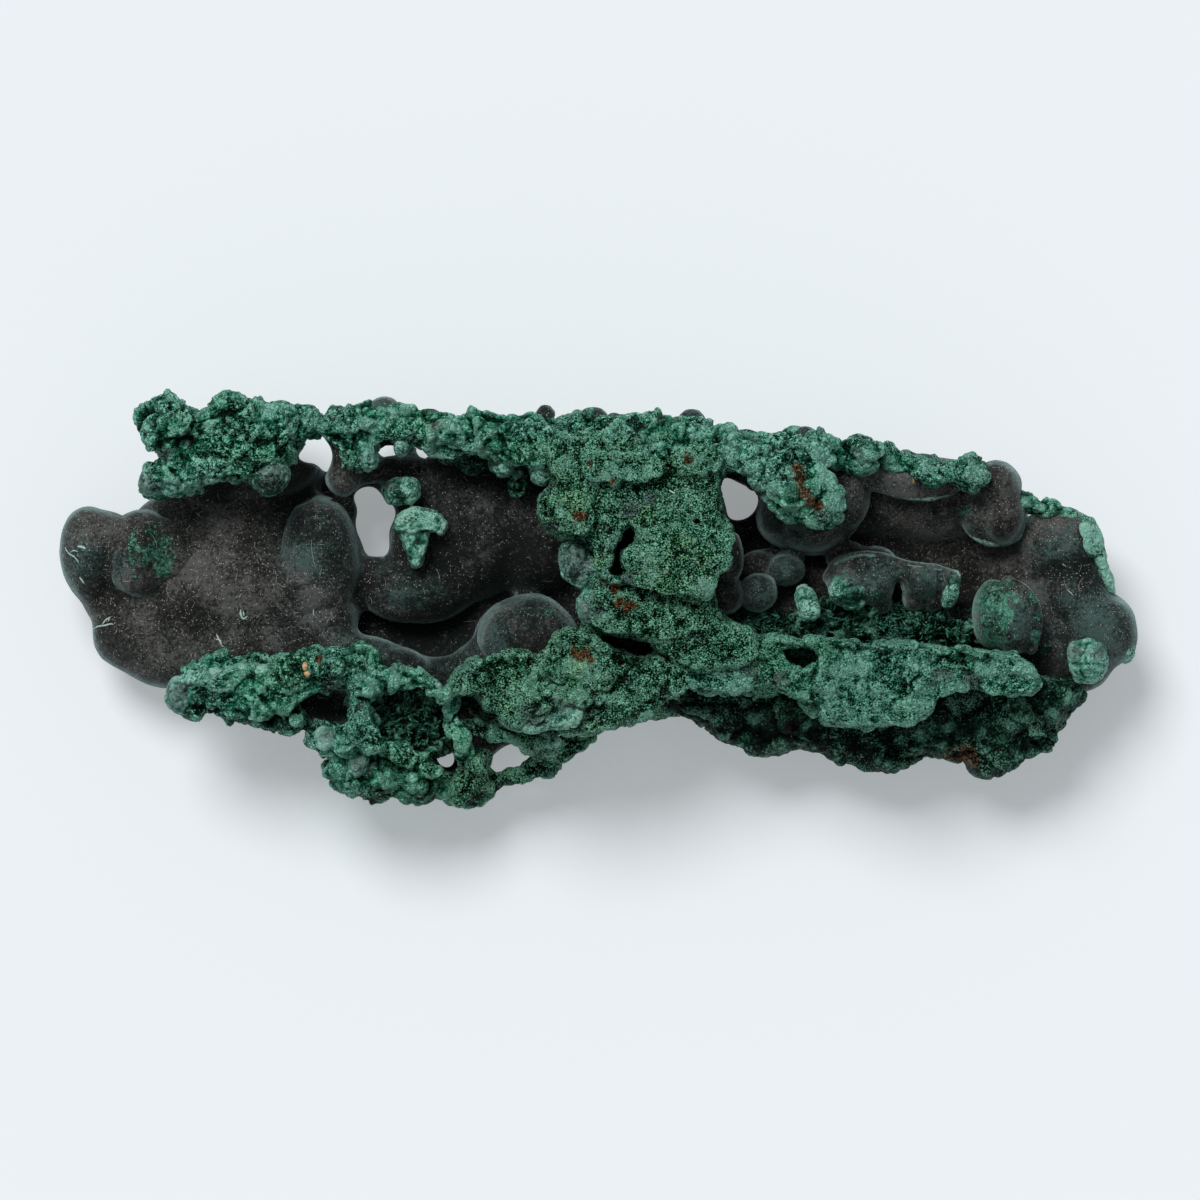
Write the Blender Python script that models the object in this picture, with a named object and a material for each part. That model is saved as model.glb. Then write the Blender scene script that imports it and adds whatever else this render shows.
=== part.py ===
"""A malachite specimen: one natural piece of dark botryoidal malachite under a bright granular crust.

It lies on its back, which is cut flat, with its open hollows facing up.
Frame: +X along its length, +Y across it towards the thick upper rim, +Z up from the cut.
The origin is on the cut, under the core that ties the two rims together.
"""

import bmesh
import bpy
from mathutils import Matrix, Vector

# Driving dimensions, in metres
LENGTH = 0.216  # overall length of the specimen
UNIT = LENGTH / 216  # every place and size in the tables below is a count of this unit
CELL = 0.0009  # cell that fuses overlapping forms into one skin
LUMP_SIZE = 0.0085  # width of the crust's lumps
LUMP_DEPTH = 0.0058  # fall from a lump's top to a point one width away
GRAIN_SIZE = 0.0045  # width of the grains on them
GRAIN_DEPTH = 0.002  # and their fall
VELVET_SOFTENING = 6  # rounds of smoothing that the dark lobes get
CRUST_SOFTENING = 3  # and the crust, before its lumps
SEAM_SOFTENING = 2  # and both, once they are one
TRIANGLES = 9500  # faces left in the finished solid

# Colour and finish of weathered dark malachite
COLOUR = (0.035, 0.11, 0.075, 1)
ROUGHNESS = 0.75

# Lobes are name: (centre, half sizes). Ridges are name: [(x, y, z, radius), ...] along a path.
# Slabs are name: (outline, top, bottom), each height as (height at x = y = 0, rise per unit X, rise per unit Y).

VELVET_LOBES = {
    # left end and left wall
    "left_tip": ((-102.4, 8.6, 15), (5.6, 9.6, 9.5)),
    "left_tip_foot": ((-99.5, 1.5, 13), (5, 6, 7)),
    "left_knob": ((-92.8, 9.6, 18), (6.8, 9.2, 8.5)),
    "left_shoulder": ((-91.5, -5.5, 15), (10.8, 9.8, 9.5)),
    "left_corner": ((-86, -10, 15), (11.5, 8.4, 8)),
    "left_wall": ((-76, 2, 14), (20, 15, 12.2)),
    "left_wall_low": ((-72, -10, 15), (18, 9, 10)),
    "left_wall_high": ((-80, 15, 13), (14, 9, 10)),
    "left_wall_inner": ((-66, 15, 10), (11, 8, 9)),
    "left_swell": ((-57, 8.5, 16), (8.2, 12.8, 10)),
    "left_swell_low": ((-57, -4, 15), (9, 8, 9.5)),
    "shadow_lobe": ((-59.3, 24.6, 8), (5, 3.6, 6)),
    "left_joint": ((-72, 27, 13), (17, 8, 12)),
    # stalk hanging from the upper rim
    "stalk_tip": ((-51.2, 24.4, 22), (3.9, 4.3, 6)),
    "stalk_arm": ((-46.2, 25, 20), (3.6, 2, 4)),
    # middle wall
    "middle_wall": ((-27, 15, 8), (17, 15.5, 14)),
    "middle_wall_left": ((-37, 13, 10), (6.5, 11.5, 10)),
    "middle_wall_right": ((-14, 15, 8), (13, 15, 12)),
    "middle_wall_top": ((-34, 24.5, 12), (10.5, 5.5, 9.5)),
    "middle_corner": ((-42, 26, 15), (3.2, 3.4, 7)),
    "middle_lip": ((-37.5, 2, 12), (11.5, 5.8, 9.5)),
    "deep_lobe": ((-34, -5.6, 6), (6, 3, 4)),
    # smooth swell under the lower rim
    "dome": ((-14.6, -8.4, 18), (10, 9.3, 12.5)),
    "dome_foot": ((-23.5, -13, 17), (6, 5, 8)),
    "recess_floor": ((-56, -20, 18), (8, 6.4, 9.5)),
    # lobes hanging in the right hollow
    "hanging_lobe": ((43, 20.2, 25), (10.6, 10.4, 12)),
    "hanging_lobe_left": ((37, 19, 22), (7.5, 8.5, 10)),
    "hanging_lobe_low": ((33.8, 15.5, 15), (4.6, 7, 9)),
    "long_lobe_end": ((67.5, 23.4, 28), (4.5, 3.4, 4.6)),
    "fist_lobe": ((79.4, 17.6, 24), (6.8, 7, 9)),
    "fist_lobe_behind": ((71, 19, 20), (6.5, 3.8, 6)),
    # right wall and right end
    "right_wall": ((66, 9, 6), (24, 15, 9)),
    "right_wall_high": ((64, 20, 12), (22, 9, 11)),
    "right_wall_end": ((88, 2, 10), (13, 15, 11)),
    "right_wall_low": ((52, -8, 9), (40, 12, 11)),
    "right_wall_dip": ((88, -8, 13), (9, 9, 9)),
    "hollow_floor": ((50, 4, 7), (30, 11, 9)),
    "right_shoulder": ((92, 11.6, 18), (9, 7.8, 9.5)),
    "right_tip": ((100.6, -6, 18), (7.2, 7.6, 10)),
    "right_tip_foot": ((94.6, 5, 16), (7.6, 8.4, 10)),
    "right_tip_low": ((95.4, -12, 15), (7.4, 7, 9)),
    # lobes standing in the right hollow
    "small_ball": ((31.4, 1.4, 28), (4.3, 4.3, 6)),
    "ball_behind": ((37, 5.6, 20), (4.6, 4.2, 6.5)),
    "saddle_leg": ((57, 1, 22), (3.4, 3.6, 6)),
    "saddle_right": ((64.5, 4, 24), (4.8, 3.8, 6)),
    "saddle_stem": ((63.8, -2, 19), (3, 3.4, 7)),
    "big_ball": ((81.6, -2.2, 23), (6.6, 7.2, 10)),
    "big_ball_foot": ((79, -6, 20), (5, 6, 9)),
    # dark smooth knobs on the upper edge
    "edge_knob_a": ((-43, 37.6, 27), (3.2, 2.8, 4)),
    "edge_knob_b": ((-11, 36.4, 28), (1.8, 2.2, 3.4)),
    "edge_knob_c": ((-1.5, 35.6, 28), (3, 2.8, 4)),
    "edge_knob_d": ((18.5, 35.4, 28), (3.2, 2.9, 4)),
    "edge_knob_e": ((40.5, 32.4, 27), (3, 2.3, 4)),
    # smooth lobes showing at the edges of the core
    "core_lobe_left": ((-5, 7.8, 33), (3.2, 4.6, 5)),
    "core_lobe_low": ((-2, -1.8, 32), (2.6, 4, 5)),
    "core_lobe_right": ((25.6, 9, 33), (3.1, 6.2, 5)),
    "core_lobe_foot": ((25, 1, 28), (4.6, 4.2, 7)),
}

VELVET_RIDGES = {
    "stalk": [(-52, 34, 26, 3.4), (-51.6, 29.5, 25, 3.4), (-51.4, 25, 22, 3.6)],
    "middle_lip_edge": [(-45.5, 7, 12, 3.6), (-45, 3, 13, 4), (-40.5, -0.4, 14, 4), (-35, -1.2, 14, 3.7),
                        (-30, 0.4, 13, 3.2)],
    "lower_swell": [(-58, -12.5, 19, 4.5), (-51, -11, 21, 4.5), (-45, -11.8, 21, 4.3), (-39, -13.6, 20, 4.2),
                    (-33, -15.2, 19, 4), (-27, -14.6, 18, 4)],
    "right_arch": [(53, 27, 28, 4), (57.5, 24.8, 28, 3.7), (62, 23.4, 28, 3.4), (67, 23.6, 28, 3.2)],
    "saddle": [(48, 4.2, 24, 3), (51.5, 6.3, 25, 3.4), (56, 6.4, 25, 3.4), (60, 4.6, 24, 3)],
    "saddle_back": [(49.5, 9.6, 19, 2.4), (55, 8.8, 20, 2.4), (61, 7.2, 20, 2.4), (66, 5.6, 20, 2.4)],
}

VELVET_SLABS = {
    # the floor of the hollows, and the foot that is cut flat
    "floor": ([(-97, 2), (-88, -14), (-62, -24), (-46, -33), (-25, -35), (-4, -25), (14, -20), (26, -27),
               (54, -31), (78, -30), (92, -21), (98, -6), (94, 10), (80, 19), (52, 28), (24, 32), (-6, 33),
               (-30, 31), (-56, 31), (-76, 34), (-88, 26)], (9, 0, 0), (3, 0, 0)),
    "foot": ([(-66, -6), (-56, -20), (-30, -25), (-4, -21), (22, -23), (52, -25), (74, -18), (79, 0), (66, 14),
              (34, 22), (2, 24), (-30, 22), (-56, 16)], (7, 0, 0), (-2, 0, 0)),
}

CRUST_LOBES = {
    # block at the left of the upper rim
    "block_corner": ((-88.6, 34.6, 31), (5.4, 5.6, 8)),
    "block_peak_a": ((-86.6, 38, 32), (3.8, 4, 6)),
    "block_peak_b": ((-74.6, 38, 33), (4.2, 4.4, 7)),
    "block_low_a": ((-88, 24.6, 29), (4, 4.2, 6)),
    "block_low_b": ((-82.5, 26, 31), (4.6, 4.4, 6)),
    "block_low_c": ((-76.4, 27.2, 32), (4.6, 4, 6)),
    "block_low_d": ((-66.6, 26, 31), (5, 4.8, 7)),
    # nubs on the stalk and on the middle wall
    "stalk_nub_a": ((-49.4, 28.6, 31), (3, 3, 4)),
    "stalk_nub_b": ((-46.6, 30, 31), (3, 3.2, 4)),
    "pale_nub": ((-39.8, 21.9, 23), (3.9, 3.2, 4.6)),
    # teeth under the upper rim
    "tooth_a": ((-39.5, 32.2, 29), (2.4, 3.2, 4)),
    "tooth_b": ((-33, 32, 29), (2.4, 2.8, 4)),
    "tooth_c": ((-19, 28, 29), (2.6, 2.6, 4)),
    "tooth_d": ((-17, 23.8, 25), (2, 2.8, 4)),
    "tooth_e": ((-11.8, 25.8, 31), (3, 2.6, 4)),
    # lower rim, left
    "finger_low_a": ((-72, -20.6, 26), (5, 3.8, 6)),
    "finger_low_b": ((-66.5, -22.4, 26), (4.6, 3.6, 6)),
    "finger_low_c": ((-61.5, -24, 25), (3.6, 3.2, 6)),
    "brow_a": ((-57, -13.2, 33), (4, 3.8, 5)),
    "brow_b": ((-51.4, -12.4, 33), (4.2, 3, 4.6)),
    "brow_c": ((-47, -12.6, 33), (3, 3, 4.6)),
    "brow_low": ((-54, -16.6, 31), (4.6, 2, 4)),
    # bottom mass
    "bottom_ear_a": ((-55.2, -27.6, 26), (3.8, 3.6, 6)),
    "bottom_ear_b": ((-50.8, -28.4, 28), (4.2, 3.6, 6)),
    "bottom_a": ((-50.2, -34.4, 20), (5.6, 5.4, 9)),
    "bottom_b": ((-44, -35.6, 21), (6, 5.6, 9)),
    "bottom_c": ((-37, -36.2, 20), (5.6, 5.2, 9)),
    "bottom_d": ((-34.4, -32.4, 24), (3, 4, 7)),
    "bottom_e": ((-27.8, -38, 17), (4.6, 3.9, 7)),
    "bottom_f": ((-22.4, -37.4, 16), (2.6, 2.8, 6)),
    "bottom_drip": ((-24.4, -40.2, 14), (1.8, 2, 4)),
    "bottom_g": ((-25.2, -33.6, 22), (3.6, 3.6, 6)),
    "apron_a": ((-14, -26.6, 24), (4.6, 4, 6)),
    "apron_b": ((-10.4, -29.6, 20), (4, 3, 6)),
    # rounded masses that carry the plates
    "core_body": ((8, 12, 18), (18, 22, 26)),
    "core_low": ((10, -8, 16), (16, 12, 17)),
    "waist": ((8, -16, 14), (19, 8, 11)),
    "pocket_floor": ((-38, -22, 16), (12, 10, 10)),
    "pocket_foot": ((-40, -30, 12), (14, 9, 9)),
    "apron_foot": ((-18, -22, 13), (14, 10, 10)),
    "flank_foot": ((56, -22, 13), (40, 10, 11)),
    "finger_foot": ((-70, -14, 20), (15, 5, 9)),
    "hollow_bank": ((50, -8, 12), (24, 6.4, 9)),
    # upper rim, right of the core
    "rim_ball_a": ((51.6, 28.6, 32), (5, 3.8, 5.6)),
    "rim_ball_b": ((66, 25, 31), (4.6, 2.4, 3.4)),
    "rim_ball_c": ((74.6, 25.6, 31), (3.8, 4, 6)),
    # right end
    "end_nub": ((97.6, -11.8, 25), (3.5, 4.2, 6)),
    "end_scale": ((105.6, -9.4, 18), (2.2, 3.2, 5)),
    "end_patch": ((97.8, 12, 23), (3.6, 5, 5)),
    # stubs in the right hollow
    "saddle_green": ((50.2, 2.2, 26), (4, 2.8, 4)),
    "saddle_fin": ((70.4, 2.6, 26), (2.5, 4.4, 5)),
    "hollow_cluster_a": ((57, -3.6, 20), (4, 3.4, 5)),
    "hollow_cluster_b": ((66, -5, 18), (5, 4, 5)),
    "hollow_cluster_c": ((48, -3, 18), (5, 3.4, 5)),
    # lower flank
    "flank_heel_a": ((33, -27.6, 15), (7, 4, 7)),
    "flank_heel_b": ((57, -31.4, 15), (6.4, 4.2, 7)),
    "flank_heel_c": ((77, -31, 15), (5, 4, 7)),
    "flank_right": ((86, -22, 20), (9, 8, 11)),
}

CRUST_RIDGES = {
    "upper_rim": [(-62, 35.4, 32, 4.6), (-56.5, 35.6, 31, 3.8), (-52.5, 34, 30, 4), (-48, 34.8, 31, 5),
                  (-42, 35, 31, 4.6), (-36, 33.8, 32, 4.8), (-28, 32.8, 33, 5), (-20, 32.4, 34, 5.2),
                  (-12, 32, 35, 5.6), (-4, 31.6, 36, 6), (6, 31, 37, 6.2), (16, 31, 37, 6.2),
                  (23, 30.2, 37, 5.2)],
    "upper_rim_right": [(23, 30.6, 36, 4.8), (30, 29.6, 34, 4), (38, 30, 32, 4.2), (46, 29.2, 31, 4),
                        (54, 28, 30, 3.8), (62, 26, 29, 3.2), (70, 24.4, 28, 3), (78, 23.4, 26, 2.8),
                        (84, 19.8, 24, 2.4), (91, 17.6, 23, 2.2), (97.6, 15.2, 22, 2.2)],
    "upper_wall": [(-33, 31, 24, 5), (-20, 30, 22, 7), (-4, 29, 20, 8), (14, 28, 18, 8.5), (32, 25.6, 17, 8),
                   (50, 24, 17, 8), (66, 20, 17, 8), (80, 15.6, 17, 7)],
    "upper_wall_foot": [(-33, 27, 13, 7), (-4, 26, 12, 9), (32, 22, 11, 9), (62, 18, 11, 9), (80, 11, 11, 8)],
    "mushroom_cap": [(-39.4, 14, 24, 1.8), (-37.4, 16, 25, 2), (-34.6, 16.2, 26, 2), (-32.4, 14.4, 25, 1.9)],
    "mushroom_stem": [(-35.8, 14, 24, 2.4), (-37, 9, 22, 2.2)],
    "finger": [(-82.4, -19.4, 27, 4.2), (-77.5, -18.6, 29, 5.2), (-71, -18.4, 30, 6), (-65, -17.6, 31, 5.8),
               (-60, -15, 32, 5)],
    "pocket_lip": [(-44, -14.6, 31, 2.8), (-39.6, -15, 32, 2.2), (-35.6, -15.6, 32, 2), (-31.6, -18.6, 31, 1.8)],
    "pocket_side": [(-30.4, -18.4, 29, 2.2), (-29, -22.6, 27, 2.6), (-26.6, -26.6, 26, 3.2),
                    (-26.8, -31, 24, 3)],
    "thin_bridge": [(-20.6, -36, 16, 3.2), (-16, -35.2, 16, 3.2), (-11, -32.4, 16, 2.6), (-7, -29.6, 16, 2.6),
                    (-3, -27, 14, 2.4)],
    "link": [(-25, -24, 25, 2.4), (-21.6, -26.6, 24, 2), (-17, -26, 24, 2.4)],
    "diagonal_bar": [(23, 30, 38, 5), (29, 29, 40, 4.6), (34, 25.6, 41, 5), (38.2, 21, 41, 5)],
    "bar_fork": [(43, 31, 38, 3.6), (43, 26, 40, 4), (44.8, 20.6, 40, 4.4)],
    "bar_end": [(38.6, 18, 40, 4), (42.4, 17, 40, 4), (46, 18, 40, 3.6)],
    "stub": [(41.2, 0.8, 26, 2.5), (41.9, -2, 29, 2.6)],
    "right_edge": [(98.4, 14.4, 22, 2.4), (99.6, 10, 22, 2.2), (101, 5, 21, 2), (102.8, 1.4, 20, 1.8)],
    "end_ledge": [(86, -16.6, 27, 2.6), (91, -18.4, 26, 2.4), (95.4, -18.6, 23, 2.2)],
}

CRUST_SLABS = {
    "pocket_wall": ([(-52, -14), (-46, -11.4), (-41.6, -13.4), (-40.4, -17), (-41.6, -21), (-42, -25),
                     (-39.4, -29.6), (-46, -31), (-50, -27), (-50.4, -20)],
                    (36, 0, 0), (14, 0, 0)),
    "upper_wall_slab": ([(-34, 26), (-35, 33), (-20, 35), (0, 34.6), (20, 34.4), (32, 31), (50, 29), (64, 26),
                         (80, 20), (88, 14), (84, 10), (60, 16), (30, 20), (0, 22), (-20, 24)],
                        (32, -0.05, 0), (4, 0, 0)),
    "block": ([(-93, 35), (-91.4, 39), (-87.5, 42), (-80.5, 39.6), (-78, 41.2), (-74, 42.6), (-66, 41.6),
               (-61, 39.6), (-59, 33), (-61, 29.4), (-61.6, 24), (-67, 21.4), (-71, 23), (-79, 22.6),
               (-84, 22), (-90.6, 21), (-91.4, 25.5), (-89, 28.6), (-92.6, 31.6)],
              (39, 0, 0), (18, 0, 0)),
    "core_plate": ([(-9.5, 33), (-9.4, 24), (-12.2, 20.4), (-12.2, 16), (-9, 12.4), (-3.6, 11.8), (2, 11),
                    (2.6, 7.6), (0.6, 4.6), (6, 4), (10, 2.6), (16, 0.6), (21, -0.4), (22.6, 4),
                    (25.4, 7), (26, 10.6), (27.6, 14.4), (26.6, 20), (25.2, 25), (25, 33)],
                   (47, 0, -0.1), (26, 0, 0)),
    "core_low_plate": ([(-1.6, 5), (5, 9), (12, 9), (21, 5), (25, -3), (31, -6.2), (32, -13), (18, -14.4),
                        (14, -11), (9.4, -8), (3, -6.4), (-0.6, -5), (-1.6, -1)],
                       (43, 0, 0.1), (18, 0, 0)),
    "middle_plate": ([(-30.6, -16), (-27, -13), (-20, -10.6), (-10.6, -9.8), (-8, -7), (-5, -6), (-1, -8.2),
                      (4, -10), (6.4, -11.6), (12, -11.2), (18, -11.4), (17, -17), (9, -22.8), (2, -25.6),
                      (-6, -27), (-11, -25), (-18, -26.6), (-22.6, -22.4), (-29, -20.4)],
                     (40, -0.02, 0.05), (16, 0, 0)),
    "right_plate": ([(15, -9), (24, -6.6), (40, -6.8), (60, -8.6), (76, -9.8), (84.6, -10.8), (88.4, -16),
                     (85, -19.6), (78, -20.4), (74, -18.6), (67.6, -20), (65.2, -24), (55, -25.6),
                     (45, -25), (42, -21.8), (34, -19.4), (24, -23.6), (19, -20), (15.6, -15)],
                    (41, 0, 0.14), (18, 0, 0)),
    "right_flank": ([(12, -23), (20.6, -23.6), (24.6, -29.2), (33, -32.4), (41, -30.2), (49, -33.8),
                     (54, -36), (59, -36), (61, -33.4), (66.6, -31.4), (74, -34.4), (78, -35.8), (84, -33),
                     (91, -28), (97.4, -20), (95, -16.6), (80, -14), (50, -14), (20, -12)],
                    (30, 0.03, 0.3), (8, 0, -0.15)),
}

SLAB_EDGE = 3  # how far a slab's edges are worn back

# Straight ways through the specimen: name: outline
WINDOW_TOP = (60, 0, 0)
WINDOW_BOTTOM = (-10, 0, 0)
WINDOWS = {
    "main_window": [(-49.8, 21.4), (-48.4, 18), (-49.2, 15.4), (-47.4, 11), (-46.8, 9), (-42.8, 9.8),
                    (-43, 14), (-41.4, 18), (-44, 20.4), (-45.6, 22.8)],
    "upper_window": [(-60.4, 28.6), (-56.2, 31.8), (-54.4, 31.4), (-53.6, 28.8), (-54.8, 25.6), (-57, 28)],
    "slit": [(-61.6, 19.4), (-59.6, 20.8), (-57.8, 20.4), (-59.6, 19.6)],
    "right_window": [(25.6, 24.2), (29, 22.4), (32, 21.2), (30.6, 17), (27, 16), (26.4, 19)],
    "rim_slot_a": [(-44.6, 30), (-42, 31.2), (-40.6, 29.8), (-43.4, 28.8)],
    "rim_slot_b": [(-37, 29.8), (-35.4, 30.4), (-34, 29.2), (-35.4, 28.2)],
    "bottom_window_a": [(-32.6, -31.4), (-30, -28.8), (-29.2, -31), (-29.2, -34.6), (-30.6, -34)],
    "bottom_window_b": [(-21.6, -32), (-19.6, -29.8), (-17, -29), (-15.6, -31), (-18.6, -31.4)],
}


def scaled(point):
    """A place in the table's units, in metres."""
    return Vector(point) * UNIT


def rounded_outline(corners, steps=3):
    """The closed curve through the corners, by Catmull-Rom spans, as a list of (x, y)."""
    points = [Vector(corner) for corner in corners]
    count = len(points)
    curve = []
    for i in range(count):
        p0, p1, p2, p3 = (points[(i + k) % count] for k in (-1, 0, 1, 2))
        for step in range(steps):
            t = step / steps
            curve.append(
                0.5 * (2 * p1 + (p2 - p0) * t + (2 * p0 - 5 * p1 + 4 * p2 - p3) * t**2
                       + (3 * p1 - p0 - 3 * p2 + p3) * t**3)
            )
    return curve


def height(plane, x, y):
    """Height of a tilted plane over a point."""
    at_origin, along_x, along_y = plane
    return at_origin + along_x * x + along_y * y


def add_lobe(bm, centre, half_sizes):
    """An ellipsoid."""
    shape = Matrix.Translation(scaled(centre)) @ Matrix.Diagonal((*scaled(half_sizes), 1))
    bmesh.ops.create_icosphere(bm, subdivisions=3, radius=1, matrix=shape)


def add_ridge(bm, path):
    """A rounded bar: a ball at each point of the path, and a cone from each ball to the next."""
    for x, y, z, radius in path:
        add_lobe(bm, (x, y, z), (radius, radius, radius))
    for start, end in zip(path, path[1:]):
        a, b = scaled(start[:3]), scaled(end[:3])
        turn = (b - a).to_track_quat("Z", "Y").to_matrix().to_4x4()
        bmesh.ops.create_cone(
            bm, cap_ends=True, segments=20, radius1=start[3] * UNIT, radius2=end[3] * UNIT,
            depth=(b - a).length, matrix=Matrix.Translation((a + b) / 2) @ turn,
        )


def add_slab(bm, outline, top, bottom, worn=SLAB_EDGE):
    """A thick plate of a free outline between two planes, its edges worn back."""
    curve = rounded_outline(outline)
    ends = []
    for plane, outward in ((top, 1), (bottom, -1)):
        end = bm.faces.new([bm.verts.new(scaled((x, y, height(plane, x, y)))) for x, y in curve])
        end.normal_update()
        if end.normal.z * outward < 0:
            end.normal_flip()
        for vert in end.verts:
            vert.co.z -= worn * UNIT * outward
        ends.append(end)
    bmesh.ops.bridge_loops(bm, edges=ends[0].edges[:] + ends[1].edges[:])
    if worn:
        for end in ends:
            bmesh.ops.inset_region(
                bm, faces=[end], thickness=worn * UNIT, depth=worn * UNIT, use_even_offset=False
            )


def new_object(name, bm):
    """Puts a bmesh into the scene as an object."""
    mesh = bpy.data.meshes.new(name)
    bm.to_mesh(mesh)
    bm.free()
    obj = bpy.data.objects.new(name, mesh)
    bpy.context.scene.collection.objects.link(obj)
    return obj


def build_forms(name, lobes, ridges, slabs):
    """One object that holds every form of a kind, still overlapping."""
    bm = bmesh.new()
    for centre, half_sizes in lobes.values():
        add_lobe(bm, centre, half_sizes)
    for path in ridges.values():
        add_ridge(bm, path)
    for outline, top, bottom in slabs.values():
        add_slab(bm, outline, top, bottom)
    bmesh.ops.recalc_face_normals(bm, faces=bm.faces)
    return new_object(name, bm)


def build_windows():
    """One cutter that holds a straight prism for each window."""
    bm = bmesh.new()
    for outline in WINDOWS.values():
        add_slab(bm, outline, WINDOW_TOP, WINDOW_BOTTOM, worn=0)
    bmesh.ops.recalc_face_normals(bm, faces=bm.faces)
    cutter = new_object("windows", bm)
    cutter.hide_render = True
    cutter.display_type = "WIRE"
    return cutter


def fuse(obj, cell, rounds):
    """Modifiers that fuse overlapping forms into one skin and round its creases."""
    skin = obj.modifiers.new("skin", "REMESH")
    skin.mode = "VOXEL"
    skin.voxel_size = cell
    soften = obj.modifiers.new("soften", "SMOOTH")
    soften.factor = 0.5
    soften.iterations = rounds


def roughen(obj):
    """Modifiers that raise the crust's lumps, and the grains on them."""
    for name, size, depth in (("lumps", LUMP_SIZE, LUMP_DEPTH), ("grains", GRAIN_SIZE, GRAIN_DEPTH)):
        cells = bpy.data.textures.new(name, "VORONOI")
        cells.noise_scale = size
        cells.distance_metric = "DISTANCE_SQUARED"
        bumps = obj.modifiers.new(name, "DISPLACE")
        bumps.texture = cells
        bumps.texture_coords = "GLOBAL"
        bumps.strength = -depth
        bumps.mid_level = 0.2


def pierce(body, cutter):
    """A modifier that cuts the windows."""
    cut = body.modifiers.new("windows", "BOOLEAN")
    cut.operation = "DIFFERENCE"
    cut.object = cutter


def settle(obj):
    """Turns an object's modifiers into plain mesh."""
    graph = bpy.context.evaluated_depsgraph_get()
    mesh = bpy.data.meshes.new_from_object(obj.evaluated_get(graph))
    obj.modifiers.clear()
    obj.data = mesh


def malachite_material():
    material = bpy.data.materials.new("malachite")
    material.use_nodes = True
    shader = material.node_tree.nodes["Principled BSDF"]
    shader.inputs["Base Color"].default_value = COLOUR
    shader.inputs["Roughness"].default_value = ROUGHNESS
    return material


def joined(name, parts):
    """One object from several, with their forms overlapping."""
    bm = bmesh.new()
    for part in parts:
        bm.from_mesh(part.data)
        bpy.data.objects.remove(part)
    return new_object(name, bm)


def keep_main_skin(obj):
    """Removes the crumbs and closed bubbles that fusing leaves apart from the main skin."""
    bm = bmesh.new()
    bm.from_mesh(obj.data)
    waiting = set(bm.verts)
    skins = []
    while waiting:
        skin = [waiting.pop()]
        for vert in skin:
            for edge in vert.link_edges:
                neighbour = edge.other_vert(vert)
                if neighbour in waiting:
                    waiting.remove(neighbour)
                    skin.append(neighbour)
        skins.append(skin)
    skins.sort(key=len)
    loose = [vert for skin in skins[:-1] for vert in skin]
    bmesh.ops.delete(bm, geom=loose, context="VERTS")
    bm.to_mesh(obj.data)
    bm.free()


def cut_foot(obj):
    """Cuts the back flat at the height of the origin."""
    bm = bmesh.new()
    bm.from_mesh(obj.data)
    bmesh.ops.bisect_plane(
        bm, geom=bm.verts[:] + bm.edges[:] + bm.faces[:], dist=1e-7,
        plane_co=(0, 0, 0), plane_no=(0, 0, 1), clear_inner=True,
    )
    rim = [edge for edge in bm.edges if edge.is_boundary]
    bmesh.ops.triangle_fill(bm, edges=rim, use_beauty=True, normal=(0, 0, -1))
    bmesh.ops.recalc_face_normals(bm, faces=bm.faces)
    bm.to_mesh(obj.data)
    bm.free()


def main():
    for obj in list(bpy.data.objects):
        bpy.data.objects.remove(obj)
    windows = build_windows()
    velvet = build_forms("velvet", VELVET_LOBES, VELVET_RIDGES, VELVET_SLABS)
    fuse(velvet, CELL, VELVET_SOFTENING)
    crust = build_forms("crust", CRUST_LOBES, CRUST_RIDGES, CRUST_SLABS)
    fuse(crust, CELL, CRUST_SOFTENING)
    roughen(crust)
    for half in (velvet, crust):
        settle(half)
    specimen = joined("malachite", [velvet, crust])
    fuse(specimen, CELL, SEAM_SOFTENING)
    pierce(specimen, windows)
    fuse(specimen, CELL, SEAM_SOFTENING)
    settle(specimen)
    keep_main_skin(specimen)
    thin = specimen.modifiers.new("thin", "DECIMATE")
    thin.ratio = TRIANGLES / (2 * len(specimen.data.polygons))
    settle(specimen)
    cut_foot(specimen)
    specimen.data.materials.clear()
    specimen.data.materials.append(malachite_material())
    specimen.data.shade_smooth()


main()
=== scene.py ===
import math

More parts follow.
